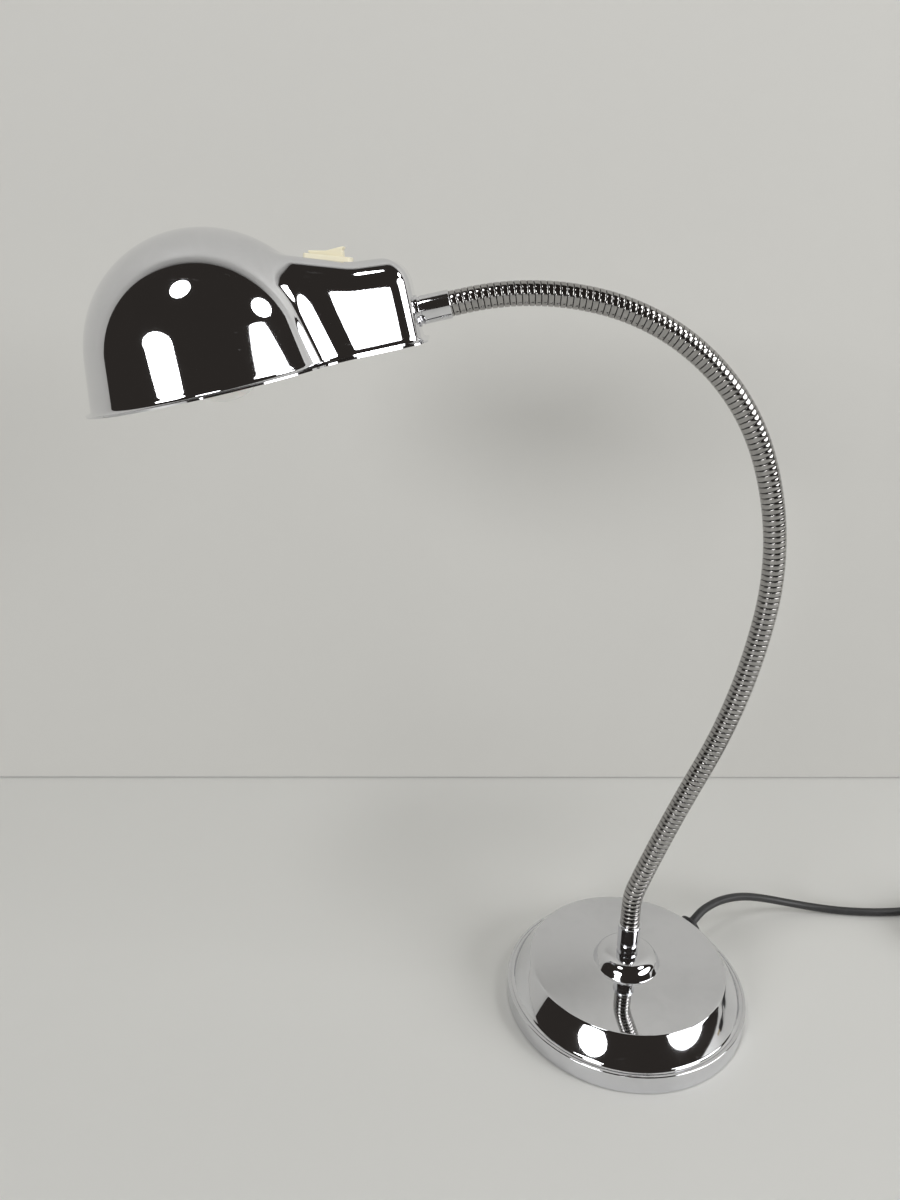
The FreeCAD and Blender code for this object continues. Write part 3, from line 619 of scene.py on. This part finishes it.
def slab(name, outline, width, material, place, soft=0.0):
    """A side view of (x, z, rounding) corners in millimetres, made width thick in Y, with soft long edges."""
    bm = bmesh.new()
    face = bm.faces.new([bm.verts.new((p.x * MM, -width / 2 * MM, p.y * MM)) for p in rounded(outline)])
    made = bmesh.ops.extrude_face_region(bm, geom=[face])
    far_side = [v for v in made["geom"] if isinstance(v, bmesh.types.BMVert)]
    bmesh.ops.translate(bm, verts=far_side, vec=(0, width * MM, 0))
    bmesh.ops.recalc_face_normals(bm, faces=bm.faces)
    if soft > 0:
        ends = [e for e in bm.edges if abs(e.verts[0].co.y - e.verts[1].co.y) < 1e-9]
        bmesh.ops.bevel(
            bm, geom=ends, offset=soft * MM, segments=3, profile=0.5, affect="EDGES", clamp_overlap=True
        )
    bmesh.ops.transform(bm, matrix=place, verts=bm.verts)
    made = piece(name, bm, material)
    keep_edges(made, 40.0)
    return made


def oblong(half_length, half_width, radius, height):
    """A level rounded rectangle in millimetres."""
    corners = [
        (half_length, half_width),
        (-half_length, half_width),
        (-half_length, -half_width),
        (half_length, -half_width),
    ]
    return [Vector((p.x, p.y, height)) * MM for p in rounded([(*c, radius) for c in corners], 5)]


def skin(name, loops, material, place):
    """A closed solid through loops with the same number of points, capped at the first and the last."""
    bm = bmesh.new()
    rows = [[bm.verts.new(p) for p in loop] for loop in loops]
    for lower, upper in zip(rows, rows[1:]):
        for i, corner in enumerate(lower):
            bm.faces.new((lower[i - 1], corner, upper[i], upper[i - 1]))
    bm.faces.new(rows[0])
    bm.faces.new(rows[-1])
    bmesh.ops.recalc_face_normals(bm, faces=bm.faces)
    bmesh.ops.transform(bm, matrix=place, verts=bm.verts)
    made = piece(name, bm, material)
    keep_edges(made, 32.0)
    return made


def neck_at(distance):
    """The centreline's point and heading at a distance from the foot ferrule's mouth."""
    x, z, angle, left = 0.0, NECK_MOUTH, math.pi / 2, distance
    if left < 0:
        return Vector((0, 0, z + left)), angle
    for length, turn in NECK_BENDS:
        part = min(left, length)
        bend = math.radians(turn) * part / length
        if abs(bend) < 1e-9:
            x += part * math.cos(angle)
            z += part * math.sin(angle)
        else:
            radius = part / bend
            x += radius * (math.sin(angle + bend) - math.sin(angle))
            z += radius * (math.cos(angle) - math.cos(angle + bend))
        angle += bend
        left -= part
        if left <= 1e-9:
            return Vector((x, 0, z)), angle
    return Vector((x + left * math.cos(angle), 0, z + left * math.sin(angle))), angle


def neck_end():
    return neck_at(sum(length for length, _ in NECK_BENDS))


def head_frame(shade):
    """The shade's own frame: X back to the neck, Z up from the rim, the origin in the rim under the dome."""
    end, heading = neck_end()
    turn = Matrix.Rotation(math.pi - heading, 4, "Y")
    offset = turn @ Vector((shade.rear + HEAD_FERRULE, 0, NECK_AXIS_HEIGHT))
    return Matrix.Translation(end - offset) @ turn


def seat_frame(shade):
    """The switch's frame in the shade's: its origin in the middle of the seat, its Z square to it."""
    fall = shade.seat_front_height - shade.seat_rear_height
    run = shade.seat_rear - shade.seat_front
    place = Vector((shade.seat_front + 0.6 * run, 0, shade.seat_front_height - 0.6 * fall))
    return Matrix.Translation(place) @ Matrix.Rotation(math.atan2(fall, run), 4, "Y")


def strip_section(hose):
    """One turn's section as (radius, height): a flat band with soft edges and a hook under the next turn."""
    r, p, g = hose.radius, hose.pitch, hose.groove
    shape = [
        (0.97, 0.935),
        (0.30, 0.935),
        (0.11, 0.905),
        (0.02, 0.82),
        (0.0, 0.50),
        (0.02, 0.18),
        (0.11, 0.095),
        (0.30, 0.065),
        (1.0, 0.065),
        (1.0, -0.24),
        (1.6, -0.24),
        (1.6, 0.70),
        (0.97, 0.72),
    ]
    return [(r - g * inward, up * p) for inward, up in shape]


def hose_length(name, start, end, hose, material):
    """The wound strip from one distance along the neck to another, bent to the centreline."""
    bm = bmesh.new()
    verts = [bm.verts.new((r, 0, z)) for r, z in strip_section(hose)]
    bm.faces.new(verts)
    turns = (end - start) / hose.pitch
    steps = round(turns * hose.facets)
    angle = turns * math.tau
    phase = Matrix.Rotation(start / hose.pitch * math.tau, 4, "Z")
    bmesh.ops.transform(bm, matrix=phase, verts=bm.verts)
    bmesh.ops.spin(
        bm,
        geom=bm.verts[:] + bm.edges[:] + bm.faces[:],
        cent=(0, 0, 0),
        axis=(0, 0, 1),
        dvec=(0, 0, hose.pitch / hose.facets),
        angle=angle,
        steps=steps,
        use_merge=False,
    )
    bmesh.ops.recalc_face_normals(bm, faces=bm.faces)
    crown = bm.verts.layers.float.new("crown")
    for v in bm.verts:
        radius = math.hypot(v.co.x, v.co.y)
        v[crown] = (radius - (hose.radius - hose.groove)) / hose.groove
    for v in bm.verts:
        centre, heading = neck_at(start + v.co.z)
        across = Vector((math.sin(heading), 0, -math.cos(heading)))
        v.co = centre + across * v.co.x + Vector((0, v.co.y, 0))
    made = piece(name, bm, material)
    keep_edges(made, 50.0)
    return made


# Operators


class BuildStage(bpy.types.Operator):
    """Table, wall, camera and lights"""

    bl_idname = "lamp.stage"
    bl_label = "Stage"

    def execute(self, context):
        scene = context.scene
        stage = scene.lamp_stage
        scene.view_settings.view_transform = "Standard"
        self.camera(scene, stage)
        self.surfaces(stage)
        self.lights()
        self.world(scene, stage)
        return {"FINISHED"}

    def camera(self, scene, stage):
        data = bpy.data.cameras.new("camera")
        data.lens = stage.lens
        data.sensor_width = 36.0
        made = bpy.data.objects.new("camera", data)
        turn = Matrix.Rotation(math.pi / 2 - stage.camera_drop, 4, "X")
        turn = turn @ Matrix.Rotation(stage.camera_roll, 4, "Z")
        made.matrix_world = Matrix.Translation(stage.camera_place) @ turn
        scene.collection.objects.link(made)
        scene.camera = made

    def surfaces(self, stage):
        bm = bmesh.new()
        bmesh.ops.create_grid(bm, x_segments=1, y_segments=1, size=3.0)
        table = piece("table", bm, painted("table_paint", stage.table_colour, 0.55))
        bm = bmesh.new()
        bmesh.ops.create_grid(bm, x_segments=1, y_segments=1, size=3.0)
        place = Matrix.Translation((0, stage.wall_distance, 3.0 + stage.wall_gap))
        upright = place @ Matrix.Rotation(math.pi / 2, 4, "X")
        place = Matrix.Rotation(stage.wall_turn, 4, "Z") @ upright
        bmesh.ops.transform(bm, matrix=place, verts=bm.verts)
        wall = piece("wall", bm, painted("wall_paint", stage.wall_colour, 0.9, one_sided=True))

    def lights(self):
        """Windows low and high behind the camera."""
        for name, place, target, size, power in (
            ("window_left", (-3.15, -4.05, 1.74), (-0.23, 0.0, 0.4), (2.5, 1.6), 106.0),
            ("window_right", (3.62, -2.15, 1.80), (-0.2, 0.0, 0.4), (4.0, 2.35), 114.0),
            ("skylight_left", (-0.64, -0.66, 1.80), (-0.23, 0.0, 0.4), (0.40, 0.46), 4.5),
            ("skylight_right", (0.98, -0.35, 1.52), (-0.2, 0.0, 0.4), (0.52, 0.46), 4.5),
            ("doorway", (-0.44, -3.5, 0.26), (-0.16, 0.0, 0.4), (0.44, 0.34), 1.5),
        ):
            self.panel(name, place, target, size, power)

    def panel(self, name, place, target, size, power):
        data = bpy.data.lights.new(name, "AREA")
        data.shape = "ELLIPSE"
        data.size, data.size_y = size
        data.energy = power
        made = bpy.data.objects.new(name, data)
        direction = Vector(target) - Vector(place)
        turn = direction.to_track_quat("-Z", "Y").to_matrix().to_4x4()
        made.matrix_world = Matrix.Translation(place) @ turn
        bpy.context.scene.collection.objects.link(made)

    def world(self, scene, stage):
        world = bpy.data.worlds.new("room")
        world.use_nodes = True
        background = world.node_tree.nodes["Background"]
        background.inputs["Color"].default_value = (*stage.room_colour, 1.0)
        background.inputs["Strength"].default_value = 1.0
        scene.world = world


class BuildLead(bpy.types.Operator):
    """The mains lead with its spare turns, gland, tie and plug"""

    bl_idname = "lamp.lead"
    bl_label = "Lead"

    def execute(self, context):
        lead = context.scene.lamp_lead
        colours = context.scene.lamp_colours
        sheath = lead_sheath("lead_sheath", colours.lead)
        black = moulded_plastic("black_mould", (0.022, 0.022, 0.024), 0.42)
        points = self.route(lead)
        curve = bpy.data.curves.new("lead", "CURVE")
        curve.dimensions = "3D"
        curve.bevel_depth = lead.radius
        curve.bevel_resolution = 5
        curve.use_fill_caps = True
        curve.resolution_u = 10
        spline = curve.splines.new("NURBS")
        spline.points.add(len(points) - 1)
        for slot, point in zip(spline.points, points):
            slot.co = (*point, 1.0)
        spline.order_u = 3
        spline.use_endpoint_u = True
        curve.materials.append(sheath)
        made = bpy.data.objects.new("lead", curve)
        context.scene.collection.objects.link(made)
        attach(made, "base")
        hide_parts("mains_lead", "lead_coil", "lead_tail")
        self.plug(black)
        dress("coil_tie", black)
        dress("lead_gland", black)
        dress("cord_clamp", black)
        dress("plug_pins", brass("plug_pin_metal", 0.2))
        return {"FINISHED"}

    def route(self, lead):
        return [Vector(p) for p in LEAD_ROUTE] + self.turns(lead) + [Vector(p) for p in TAIL_ROUTE]

    def plug(self, material):
        """The flat plug, its round sleeve swelling into the grip."""
        end, before = Vector(TAIL_ROUTE[-1]), Vector(TAIL_ROUTE[-2])
        along = (end - before).normalized()
        across = Vector((0, 0, 1)).cross(along)
        turn = Matrix((across, (0, 0, 1), along)).transposed().to_4x4()
        body = skin(
            "plug_moulding",
            [
                oblong(3.35, 3.35, 3.3, 0.0),
                oblong(3.45, 3.45, 3.4, 2.2),
                oblong(3.2, 3.2, 3.15, 2.4),
                oblong(3.2, 3.2, 3.15, 3.2),
                oblong(3.7, 3.7, 3.65, 3.4),
                oblong(4.3, 4.1, 4.0, 9.0),
                oblong(5.0, 4.6, 3.8, 12.0),
                oblong(7.6, 5.7, 3.2, 15.0),
                oblong(10.4, 6.3, 2.6, 21.0),
                oblong(12.0, 6.5, 2.2, 29.0),
                oblong(12.5, 6.5, 2.2, 38.0),
                oblong(12.5, 6.5, 2.2, 47.0),
                oblong(12.2, 6.2, 1.9, 47.7),
                oblong(11.5, 5.5, 1.4, 48.0),
            ],
            material,
            Matrix.Translation(end) @ turn,
        )
        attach(body, "base")
        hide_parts("plug_body")

    def turns(self, lead):
        """Three layers wound a diameter apart: inwards, outwards, then back to the outside on top."""
        low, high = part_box("lead_coil")
        centre = (low + high) / 2
        d = 2 * lead.radius
        outer = lead.coil_radius + d
        radii = [outer, outer - d, outer - 2 * d, outer - 2 * d, outer - d, outer, outer - d, outer, outer]
        heights = [0, 0, 0, d, d, d, 2 * d, 2 * d, 2 * d]
        per_turn, change = 20, 9
        points = []
        for i in range((len(radii) - 1) * per_turn + 5):
            turn, step = divmod(i, per_turn)
            share = max(0.0, (step - per_turn + change) / change)
            share = share * share * (3 - 2 * share)
            following = min(turn + 1, len(radii) - 1)
            radius = radii[turn] + (radii[following] - radii[turn]) * share
            height = heights[turn] + (heights[following] - heights[turn]) * share
            angle = math.pi / 2 - i / per_turn * math.tau
            place = Vector((radius * math.cos(angle), radius * math.sin(angle), lead.radius + height))
            points.append(place + Vector((centre.x, centre.y, 0)))
        return points


class BuildHose(bpy.types.Operator):
    """The strip-wound neck in lengths that each bend across one joint"""

    bl_idname = "lamp.hose"
    bl_label = "Neck"

    def execute(self, context):
        hose = context.scene.lamp_hose
        # The strip colour is darker chrome as painted shade.
        chrome = hose_chrome("hose_chrome", context.scene.lamp_colours.strip)
        order = self.joints_in_order()
        link = hose.turns * hose.pitch
        total = sum(length for length, _ in NECK_BENDS)
        first = (total - link * (len(order) - 1)) / 2
        for i, joint in enumerate(order):
            centre = first + link * i
            start = centre - link / 2 - hose.pitch / 2
            end = centre + link / 2 - hose.pitch / 2
            if i == 0:
                start = centre - hose.pitch / 2 - 4.5 * hose.pitch
            if i == len(order) - 1:
                end = centre - hose.pitch / 2 + 5.5 * hose.pitch
            made = hose_length("hose_%02d" % i, start, end, hose, chrome)
            margin = 1.0 * hose.pitch
            before = max(start + margin, centre - link / 2 + margin)
            after = min(end, centre + link / 2 - margin)
            neck_at(before)[0]
            neck_at(after)[0]
            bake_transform(made)
            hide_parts(*self.stands_for(i, len(order)))
        return {"FINISHED"}

    def joints_in_order(self):
        chain, body = [], "base"
        hinges = [j for j in frame["joints"] if j["name"] != "rocker"]
        while len(chain) < len(hinges):
            joint = next(j for j in hinges if j["parent"] == body)
            chain.append(joint)
            body = joint["child"]
        return chain

    def stands_for(self, i, count):
        if i == 0:
            return ["neck_foot_end", "inner_flex", "neck_link_01"]
        if i == count - 1:
            return ["neck_link_%02d" % i, "neck_top_end"]
        return ["neck_link_%02d" % i, "neck_link_%02d" % (i + 1)]


class BuildBase(bpy.types.Operator):
    """The stepped base with its plate, weight and pad"""

    bl_idname = "lamp.base"
    bl_label = "Base"

    def execute(self, context):
        chrome = polished_chrome("base_chrome", context.scene.lamp_colours.chrome)
        low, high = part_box("base_shell")
        rim, top, foot = high.x / MM, high.z / MM, low.z / MM
        shell = lathe(
            "base_pressing",
            [
                (rim - 1.0, foot, 0),
                (rim, foot, 0),
                (rim, 12.5, 0.8),
                (73.3, 12.5, 0),
                (73.2, 12.1, 0),
                (72.8, 12.1, 0),
                (72.7, 12.5, 0),
                (71.3, 12.5, 2.0),
                (66.7, 21.1, 120.0),
                (61.0, 29.0, 1.3),
                (20.9, 29.0, 0.9),
                (17.0, top, 8.4),
                (5.1, top, 0),
                (5.1, top - 1.0, 0),
                (16.2, top - 1.0, 7.4),
                (20.0, 28.0, 1.6),
                (60.2, 28.0, 0.3),
                (70.5, 11.5, 3.0),
                (rim - 1.0, 11.5, 0),
            ],
            240,
            chrome,
        )
        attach(shell, "base")
        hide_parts("base_shell")
        steel = zinc_steel("zinc_steel")
        for node in ("shell_posts", "base_plate", "base_screws", "stem_washer", "stem_nut", "stem_tube"):
            dress(node, steel)
        dress("ballast_weight", cast_iron("cast_iron"))
        dress("foot_pad", foam("pad_foam"))
        return {"FINISHED"}


class BuildFerrules(bpy.types.Operator):
    """The two turned ferrules that hold the neck's ends"""

    bl_idname = "lamp.ferrules"
    bl_label = "Ferrules"

    def execute(self, context):
        chrome = polished_chrome("ferrule_chrome", context.scene.lamp_colours.chrome, 0.05)
        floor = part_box("foot_ferrule")[0].z
        foot = lathe(
            "lower_ferrule",
            [
                (5.0, 0, 0),
                (5.9, 0, 0),
                (5.9, 1.2, 0),
                (6.8, 2.1, 0.3),
                (6.8, 17.9, 0),
                (7.4, 17.9, 1.04),
                (7.4, 20.5, 1.04),
                (6.02, 20.5, 0.1),
                (6.02, 9.5, 0),
                (5.0, 9.5, 0),
            ],
            96,
            chrome,
            Matrix.Translation((0, 0, floor)),
        )
        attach(foot, "base")
        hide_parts("foot_ferrule")
        end, heading = neck_end()
        along = Vector((-math.cos(heading), 0, -math.sin(heading)))
        head = lathe(
            "upper_ferrule",
            [
                (5.0, 0, 0),
                (7.5, 0, 0),
                (7.5, 1.2, 0.35),
                (6.5, 1.2, 0),
                (6.5, 2.0, 0),
                (6.8, 2.3, 0),
                (6.8, 16.5, 0.5),
                (6.02, 16.5, 0),
                (6.02, 5.5, 0),
                (5.0, 5.5, 0),
            ],
            96,
            chrome,
            aim(end - along * HEAD_FERRULE, along),
        )
        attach(head, "head")
        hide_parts("head_ferrule")
        return {"FINISHED"}


def dome_distance(points, shade):
    """How far points are outside the dome with its leaning skirt, and the way out."""
    height = points[:, 2] - (shade.crown_height - shade.dome_radius)
    radius = np.maximum(np.hypot(points[:, 0], points[:, 1]), 1e-9)
    draft = shade.skirt_draft
    on_cap = height > radius * math.tan(draft)
    reach = np.hypot(radius, height)
    up = np.where(on_cap, height / reach, math.sin(draft))
    level = np.where(on_cap, radius / reach, math.cos(draft))
    skirt = radius * math.cos(draft) + height * math.sin(draft)
    distance = np.where(on_cap, reach, skirt) - shade.dome_radius
    out = np.stack((level * points[:, 0] / radius, level * points[:, 1] / radius, up), axis=1)
    return distance, out


def box_distance(points, shade):
    """How far points are outside the boxy rear with its roof, its seat and its rounded edges."""
    x, y, z = points[:, 0], np.abs(points[:, 1]), points[:, 2]
    seat = math.atan2(shade.seat_front_height - shade.seat_rear_height, shade.seat_rear - shade.seat_front)
    rear = math.atan2(shade.seat_rear_height - shade.rear_height, shade.rear - shade.seat_rear)
    ahead = x - shade.seat_rear
    above = z - shade.seat_rear_height
    over_seat = ahead * math.sin(seat) + above * math.cos(seat)
    over_rear = ahead * math.sin(rear) + above * math.cos(rear)
    roof = joined(over_seat, over_rear, math.cos(seat - rear), 0.03)
    ends = np.abs(x - shade.rear / 2) - shade.rear / 2
    walls = rounded_off(y - shade.half_width, ends, shade.corner_radius)
    return rounded_off(walls, roof, shade.edge_radius)


def rounded_off(first, second, radius):
    """The distance to what is inside both surfaces, with the edge between them rounded off."""
    u = first + radius
    v = second + radius
    return np.hypot(np.maximum(u, 0), np.maximum(v, 0)) + np.minimum(np.maximum(u, v), 0) - radius


def joined(first, second, cosine, radius):
    """The distance to two surfaces together, with a fillet between them. cosine is between their ways out."""
    u = radius - first
    v = radius - second
    c = np.clip(cosine, -0.9, 0.995)
    near = (u > 0) & (v > 0) & (u > c * v) & (v > c * u)
    reach = np.sqrt(np.maximum(u * u + v * v - 2 * u * v * c, 0) / (1 - c * c))
    return np.where(near, radius - reach, np.minimum(first, second))


def shade_distance(points, shade):
    dome, out = dome_distance(points, shade)
    box = box_distance(points, shade)
    step = 1e-6
    slope = []
    for axis in range(3):
        moved = points.copy()
        moved[:, axis] += step
        slope.append((box_distance(moved, shade) - box) / step)
    cosine = np.sum(np.stack(slope, axis=1) * out, axis=1)
    return joined(dome, box, cosine, shade.valley_radius)


def cast(origins, ways, shade):
    """Where rays from inside the shade meet its outer skin."""
    near = np.full(len(origins), 0.02)
    far = np.full(len(origins), 0.14)
    for _ in range(32):
        middle = (near + far) / 2
        outside = shade_distance(origins + ways * middle[:, None], shade) > 0
        far = np.where(outside, middle, far)
        near = np.where(outside, near, middle)
    return origins + ways * near[:, None]


def ring(shade, angles, height, lift=0.0):
    """The skin all round at a height, or along rays that rise from the dome's centre."""
    level = math.cos(lift)
    rise = np.full(len(angles), math.sin(lift))
    ways = np.stack((np.cos(angles) * level, np.sin(angles) * level, rise), axis=1)
    origins = np.zeros((len(angles), 3))
    origins[:, 2] = height
    return cast(origins, ways, shade)


def even_angles(shade, height):
    """Angles round the dome's axis that are evenly spaced along the skin."""
    fine = np.linspace(0, math.tau, 2881)
    skin = ring(shade, fine, height)
    steps = np.linalg.norm(np.diff(skin, axis=0), axis=1)
    along = np.concatenate(([0], np.cumsum(steps)))
    wanted = np.linspace(0, along[-1], shade.columns, endpoint=False)
    return np.interp(wanted, along, fine)


def turned_out(shade, outline, low):
    """The rim's rows from its edge inwards: flat, then bending up into the skirt."""
    ahead = np.roll(outline, -1, axis=0) - np.roll(outline, 1, axis=0)
    out = np.stack((ahead[:, 1], -ahead[:, 0], np.zeros(len(outline))), axis=1)
    out /= np.linalg.norm(out, axis=1)[:, None]
    bend = shade.lip_radius
    rows = [outline + out * shade.lip + (0, 0, low - bend - outline[0, 2])]
    for angle in np.radians((90, 72, 54, 36, 18)):
        row = outline + out * bend * (1 - math.cos(angle))
        row[:, 2] = low - bend * math.sin(angle)
        rows.append(row)
    return rows


def shade_skin(shade):
    """The shade's outer skin as an open sheet from the rim's edge up to the crown."""
    centre = shade.crown_height - shade.dome_radius
    angles = even_angles(shade, centre)
    low = shade.wall + shade.lip_radius
    rows = turned_out(shade, ring(shade, angles, low), low)
    for height in np.linspace(low, centre, 8):
        rows.append(ring(shade, angles, height))
    lifts = np.concatenate((np.arange(1.2, 9, 1.2), np.arange(9, 33, 0.5), np.arange(33.5, 89, 1.6)))
    for lift in np.radians(lifts):
        rows.append(ring(shade, angles, centre, lift))
    bm = bmesh.new()
    loops = [[bm.verts.new(p) for p in row] for row in rows]
    for lower, upper in zip(loops, loops[1:]):
        for i, corner in enumerate(lower):
            bm.faces.new((lower[i - 1], corner, upper[i], upper[i - 1]))
    crown = bm.verts.new((0, 0, shade.crown_height))
    for i, corner in enumerate(loops[-1]):
        bm.faces.new((loops[-1][i - 1], corner, crown))
    return bm


def pierce(bm, place, outline):
    """Cuts an opening of (x, y) corners through the sheet, square to the Z axis of place."""
    inverse = place.inverted()
    reach = 1.6 * max(math.hypot(*corner) for corner in outline)

    def close():
        found = []
        for face in bm.faces:
            seen = inverse @ face.calc_center_median()
            if abs(seen.x) < reach and abs(seen.y) < reach and abs(seen.z) < 0.006:
                found.append(face)
        return found

    for a, b in zip(outline, outline[1:] + outline[:1]):
        side = Vector((b[1] - a[1], a[0] - b[0], 0))
        faces = close()
        geom = faces + list({e for f in faces for e in f.edges}) + list({v for f in faces for v in f.verts})
        bmesh.ops.bisect_plane(
            bm,
            geom=geom,
            dist=1e-7,
            plane_co=place @ Vector((*a, 0)),
            plane_no=place.to_3x3() @ side.normalized(),
        )
    gone = [f for f in close() if within(inverse @ f.calc_center_median(), outline)]
    bmesh.ops.delete(bm, geom=gone, context="FACES")


def within(point, outline):
    """True of a point inside a convex outline that runs anticlockwise."""
    for a, b in zip(outline, outline[1:] + outline[:1]):
        if (b[0] - a[0]) * (point.y - a[1]) - (b[1] - a[1]) * (point.x - a[0]) < 0:
            return False
    return True


class BuildShade(bpy.types.Operator):
    """The pressed shade: dome, boxy rear and the soft valley between them, with a turned-out rim"""

    bl_idname = "lamp.shade"
    bl_label = "Shade"

    def execute(self, context):
        shade = context.scene.lamp_shade
        chrome = polished_chrome("shade_chrome", context.scene.lamp_colours.chrome, 0.03)
        bm = shade_skin(shade)
        stem = aim((shade.rear, 0, NECK_AXIS_HEIGHT), (1, 0, 0))
        around = np.linspace(0, math.tau, 16, endpoint=False)
        circle = [(TUBE_HOLE * math.cos(a), TUBE_HOLE * math.sin(a)) for a in around]
        pierce(bm, stem, circle)
        x, y = SWITCH_OPENING
        pierce(bm, seat_frame(shade), [(-x, -y), (x, -y), (x, y), (-x, y)])
        bmesh.ops.recalc_face_normals(bm, faces=bm.faces)
        bmesh.ops.solidify(bm, geom=bm.faces[:], thickness=shade.wall)
        bmesh.ops.transform(bm, matrix=head_frame(shade), verts=bm.verts)
        made = piece("shade_pressing", bm, chrome)
        keep_edges(made, 45.0)
        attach(made, "head")
        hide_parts("shade")
        return {"FINISHED"}


class BuildHolder(bpy.types.Operator):
    """The lampholder, its bracket and the bulb"""

    bl_idname = "lamp.holder"
    bl_label = "Holder and bulb"

    def execute(self, context):
        steel = zinc_steel("holder_steel")
        black = moulded_plastic("holder_mould", (0.02, 0.02, 0.022), 0.5)
        metal = brass("contact_brass")
        for node in ("holder_bracket", "head_nut", "head_tube"):
            dress(node, steel)
        for node in ("holder_cap", "holder_body"):
            dress(node, black)
        for node in ("holder_sleeve", "holder_contact", "bulb_tip"):
            dress(node, metal)
        dress("bulb_cap", aluminium("bulb_cap_metal"))
        dress("bulb_insulator", moulded_plastic("bulb_vitrite", (0.01, 0.01, 0.015), 0.12, strength=0.02))
        shade = context.scene.lamp_shade
        globe = head_frame(shade) @ aim((0.003, 0, NECK_AXIS_HEIGHT), (1, 0, 0))
        mouth = self.mouth(shade, globe)
        bulb = lathe(
            "bulb_envelope",
            [
                (0, mouth + 6.0, 0),
                (6.6, mouth + 6.0, 0.5),
                (6.6, mouth, 0),
                (9.0, mouth - 1.5, 2.0),
                (13.95, 17.65, 0),
                *[(22.5 * math.sin(a), 22.5 * math.cos(a), 0) for a in np.radians(range(42, 180, 4))],
                (0, -22.5, 0),
            ],
            96,
            opal_glass("opal_glass"),
            globe,
        )
        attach(bulb, "head")
        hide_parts("bulb_glass")
        return {"FINISHED"}

    def mouth(self, shade, globe):
        """How far from the globe's centre the bulb's cap begins, in millimetres."""
        inverse = globe.inverted()
        return min((inverse @ v.co).z for v in NODES["bulb_cap"].data.vertices) / MM


class BuildSwitch(bpy.types.Operator):
    """The rocker switch on the shade"""

    bl_idname = "lamp.switch"
    bl_label = "Switch"

    def execute(self, context):
        cream = moulded_plastic("switch_cream", context.scene.lamp_colours.cream, 0.3)
        shade = context.scene.lamp_shade
        place = head_frame(shade) @ seat_frame(shade)
        body = skin(
            "switch_moulding",
            [
                oblong(9.6, 6.4, 0.5, -9.0),
                oblong(9.6, 6.4, 0.5, 0.0),
                oblong(11.25, 7.5, 1.5, 0.0),
                oblong(11.25, 7.5, 1.5, 1.4),
                oblong(11.1, 7.35, 1.4, 1.75),
                oblong(10.75, 7.0, 1.2, 2.0),
                oblong(9.0, 5.8, 0.6, 2.0),
                oblong(8.7, 5.5, 0.45, 1.75),
                oblong(8.7, 5.5, 0.45, -8.1),
            ],
            cream,
            place,
        )
        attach(body, "head")
        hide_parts("switch_body")
        paddle = slab(
            "rocker_paddle",
            [
                (-7.5, 0, 0),
                (-5.6, -3.6, 0),
                (5.6, -3.6, 0),
                (7.5, 0, 0),
                (7.5, 3.6, 0.3),
                (9.5, 5.2, 0.45),
                (0, 4.0, 8.0),
                (-9.5, 5.2, 0.45),
                (-7.5, 3.6, 0.3),
            ],
            10.4,
            cream,
            place @ Matrix.Rotation(math.radians(-12.0), 4, "Y"),
            0.35,
        )
        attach(paddle, "rocker")
        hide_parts("rocker")
        dress("switch_terminals", brass("terminal_brass"))
        return {"FINISHED"}


class LampPanel(bpy.types.Panel):
    bl_idname = "VIEW3D_PT_lamp"
    bl_label = "Desk lamp"
    bl_space_type = "VIEW_3D"
    bl_region_type = "UI"
    bl_category = "Lamp"

    def draw(self, context):
        for operator in OPERATORS:
            self.layout.operator(operator.bl_idname)


OPERATORS = (BuildStage, BuildLead, BuildHose, BuildBase, BuildFerrules, BuildShade, BuildHolder, BuildSwitch)
GROUPS = {
    "lamp_stage": LampStage,
    "lamp_shade": LampShade,
    "lamp_hose": LampHose,
    "lamp_lead": LampLead,
    "lamp_colours": LampColours,
}


def register():
    for cls in (*GROUPS.values(), *OPERATORS, LampPanel):
        bpy.utils.register_class(cls)
    for name, group in GROUPS.items():
        setattr(bpy.types.Scene, name, bpy.props.PointerProperty(type=group))


def unregister():
    for name in GROUPS:
        delattr(bpy.types.Scene, name)
    for cls in (LampPanel, *reversed(OPERATORS), *reversed(GROUPS.values())):
        bpy.utils.unregister_class(cls)


def main():
    register()
    bpy.ops.lamp.stage()
    bpy.ops.lamp.lead()
    bpy.ops.lamp.hose()
    bpy.ops.lamp.base()
    bpy.ops.lamp.ferrules()
    bpy.ops.lamp.shade()
    bpy.ops.lamp.holder()
    bpy.ops.lamp.switch()


if __name__ == "__main__":
    main()
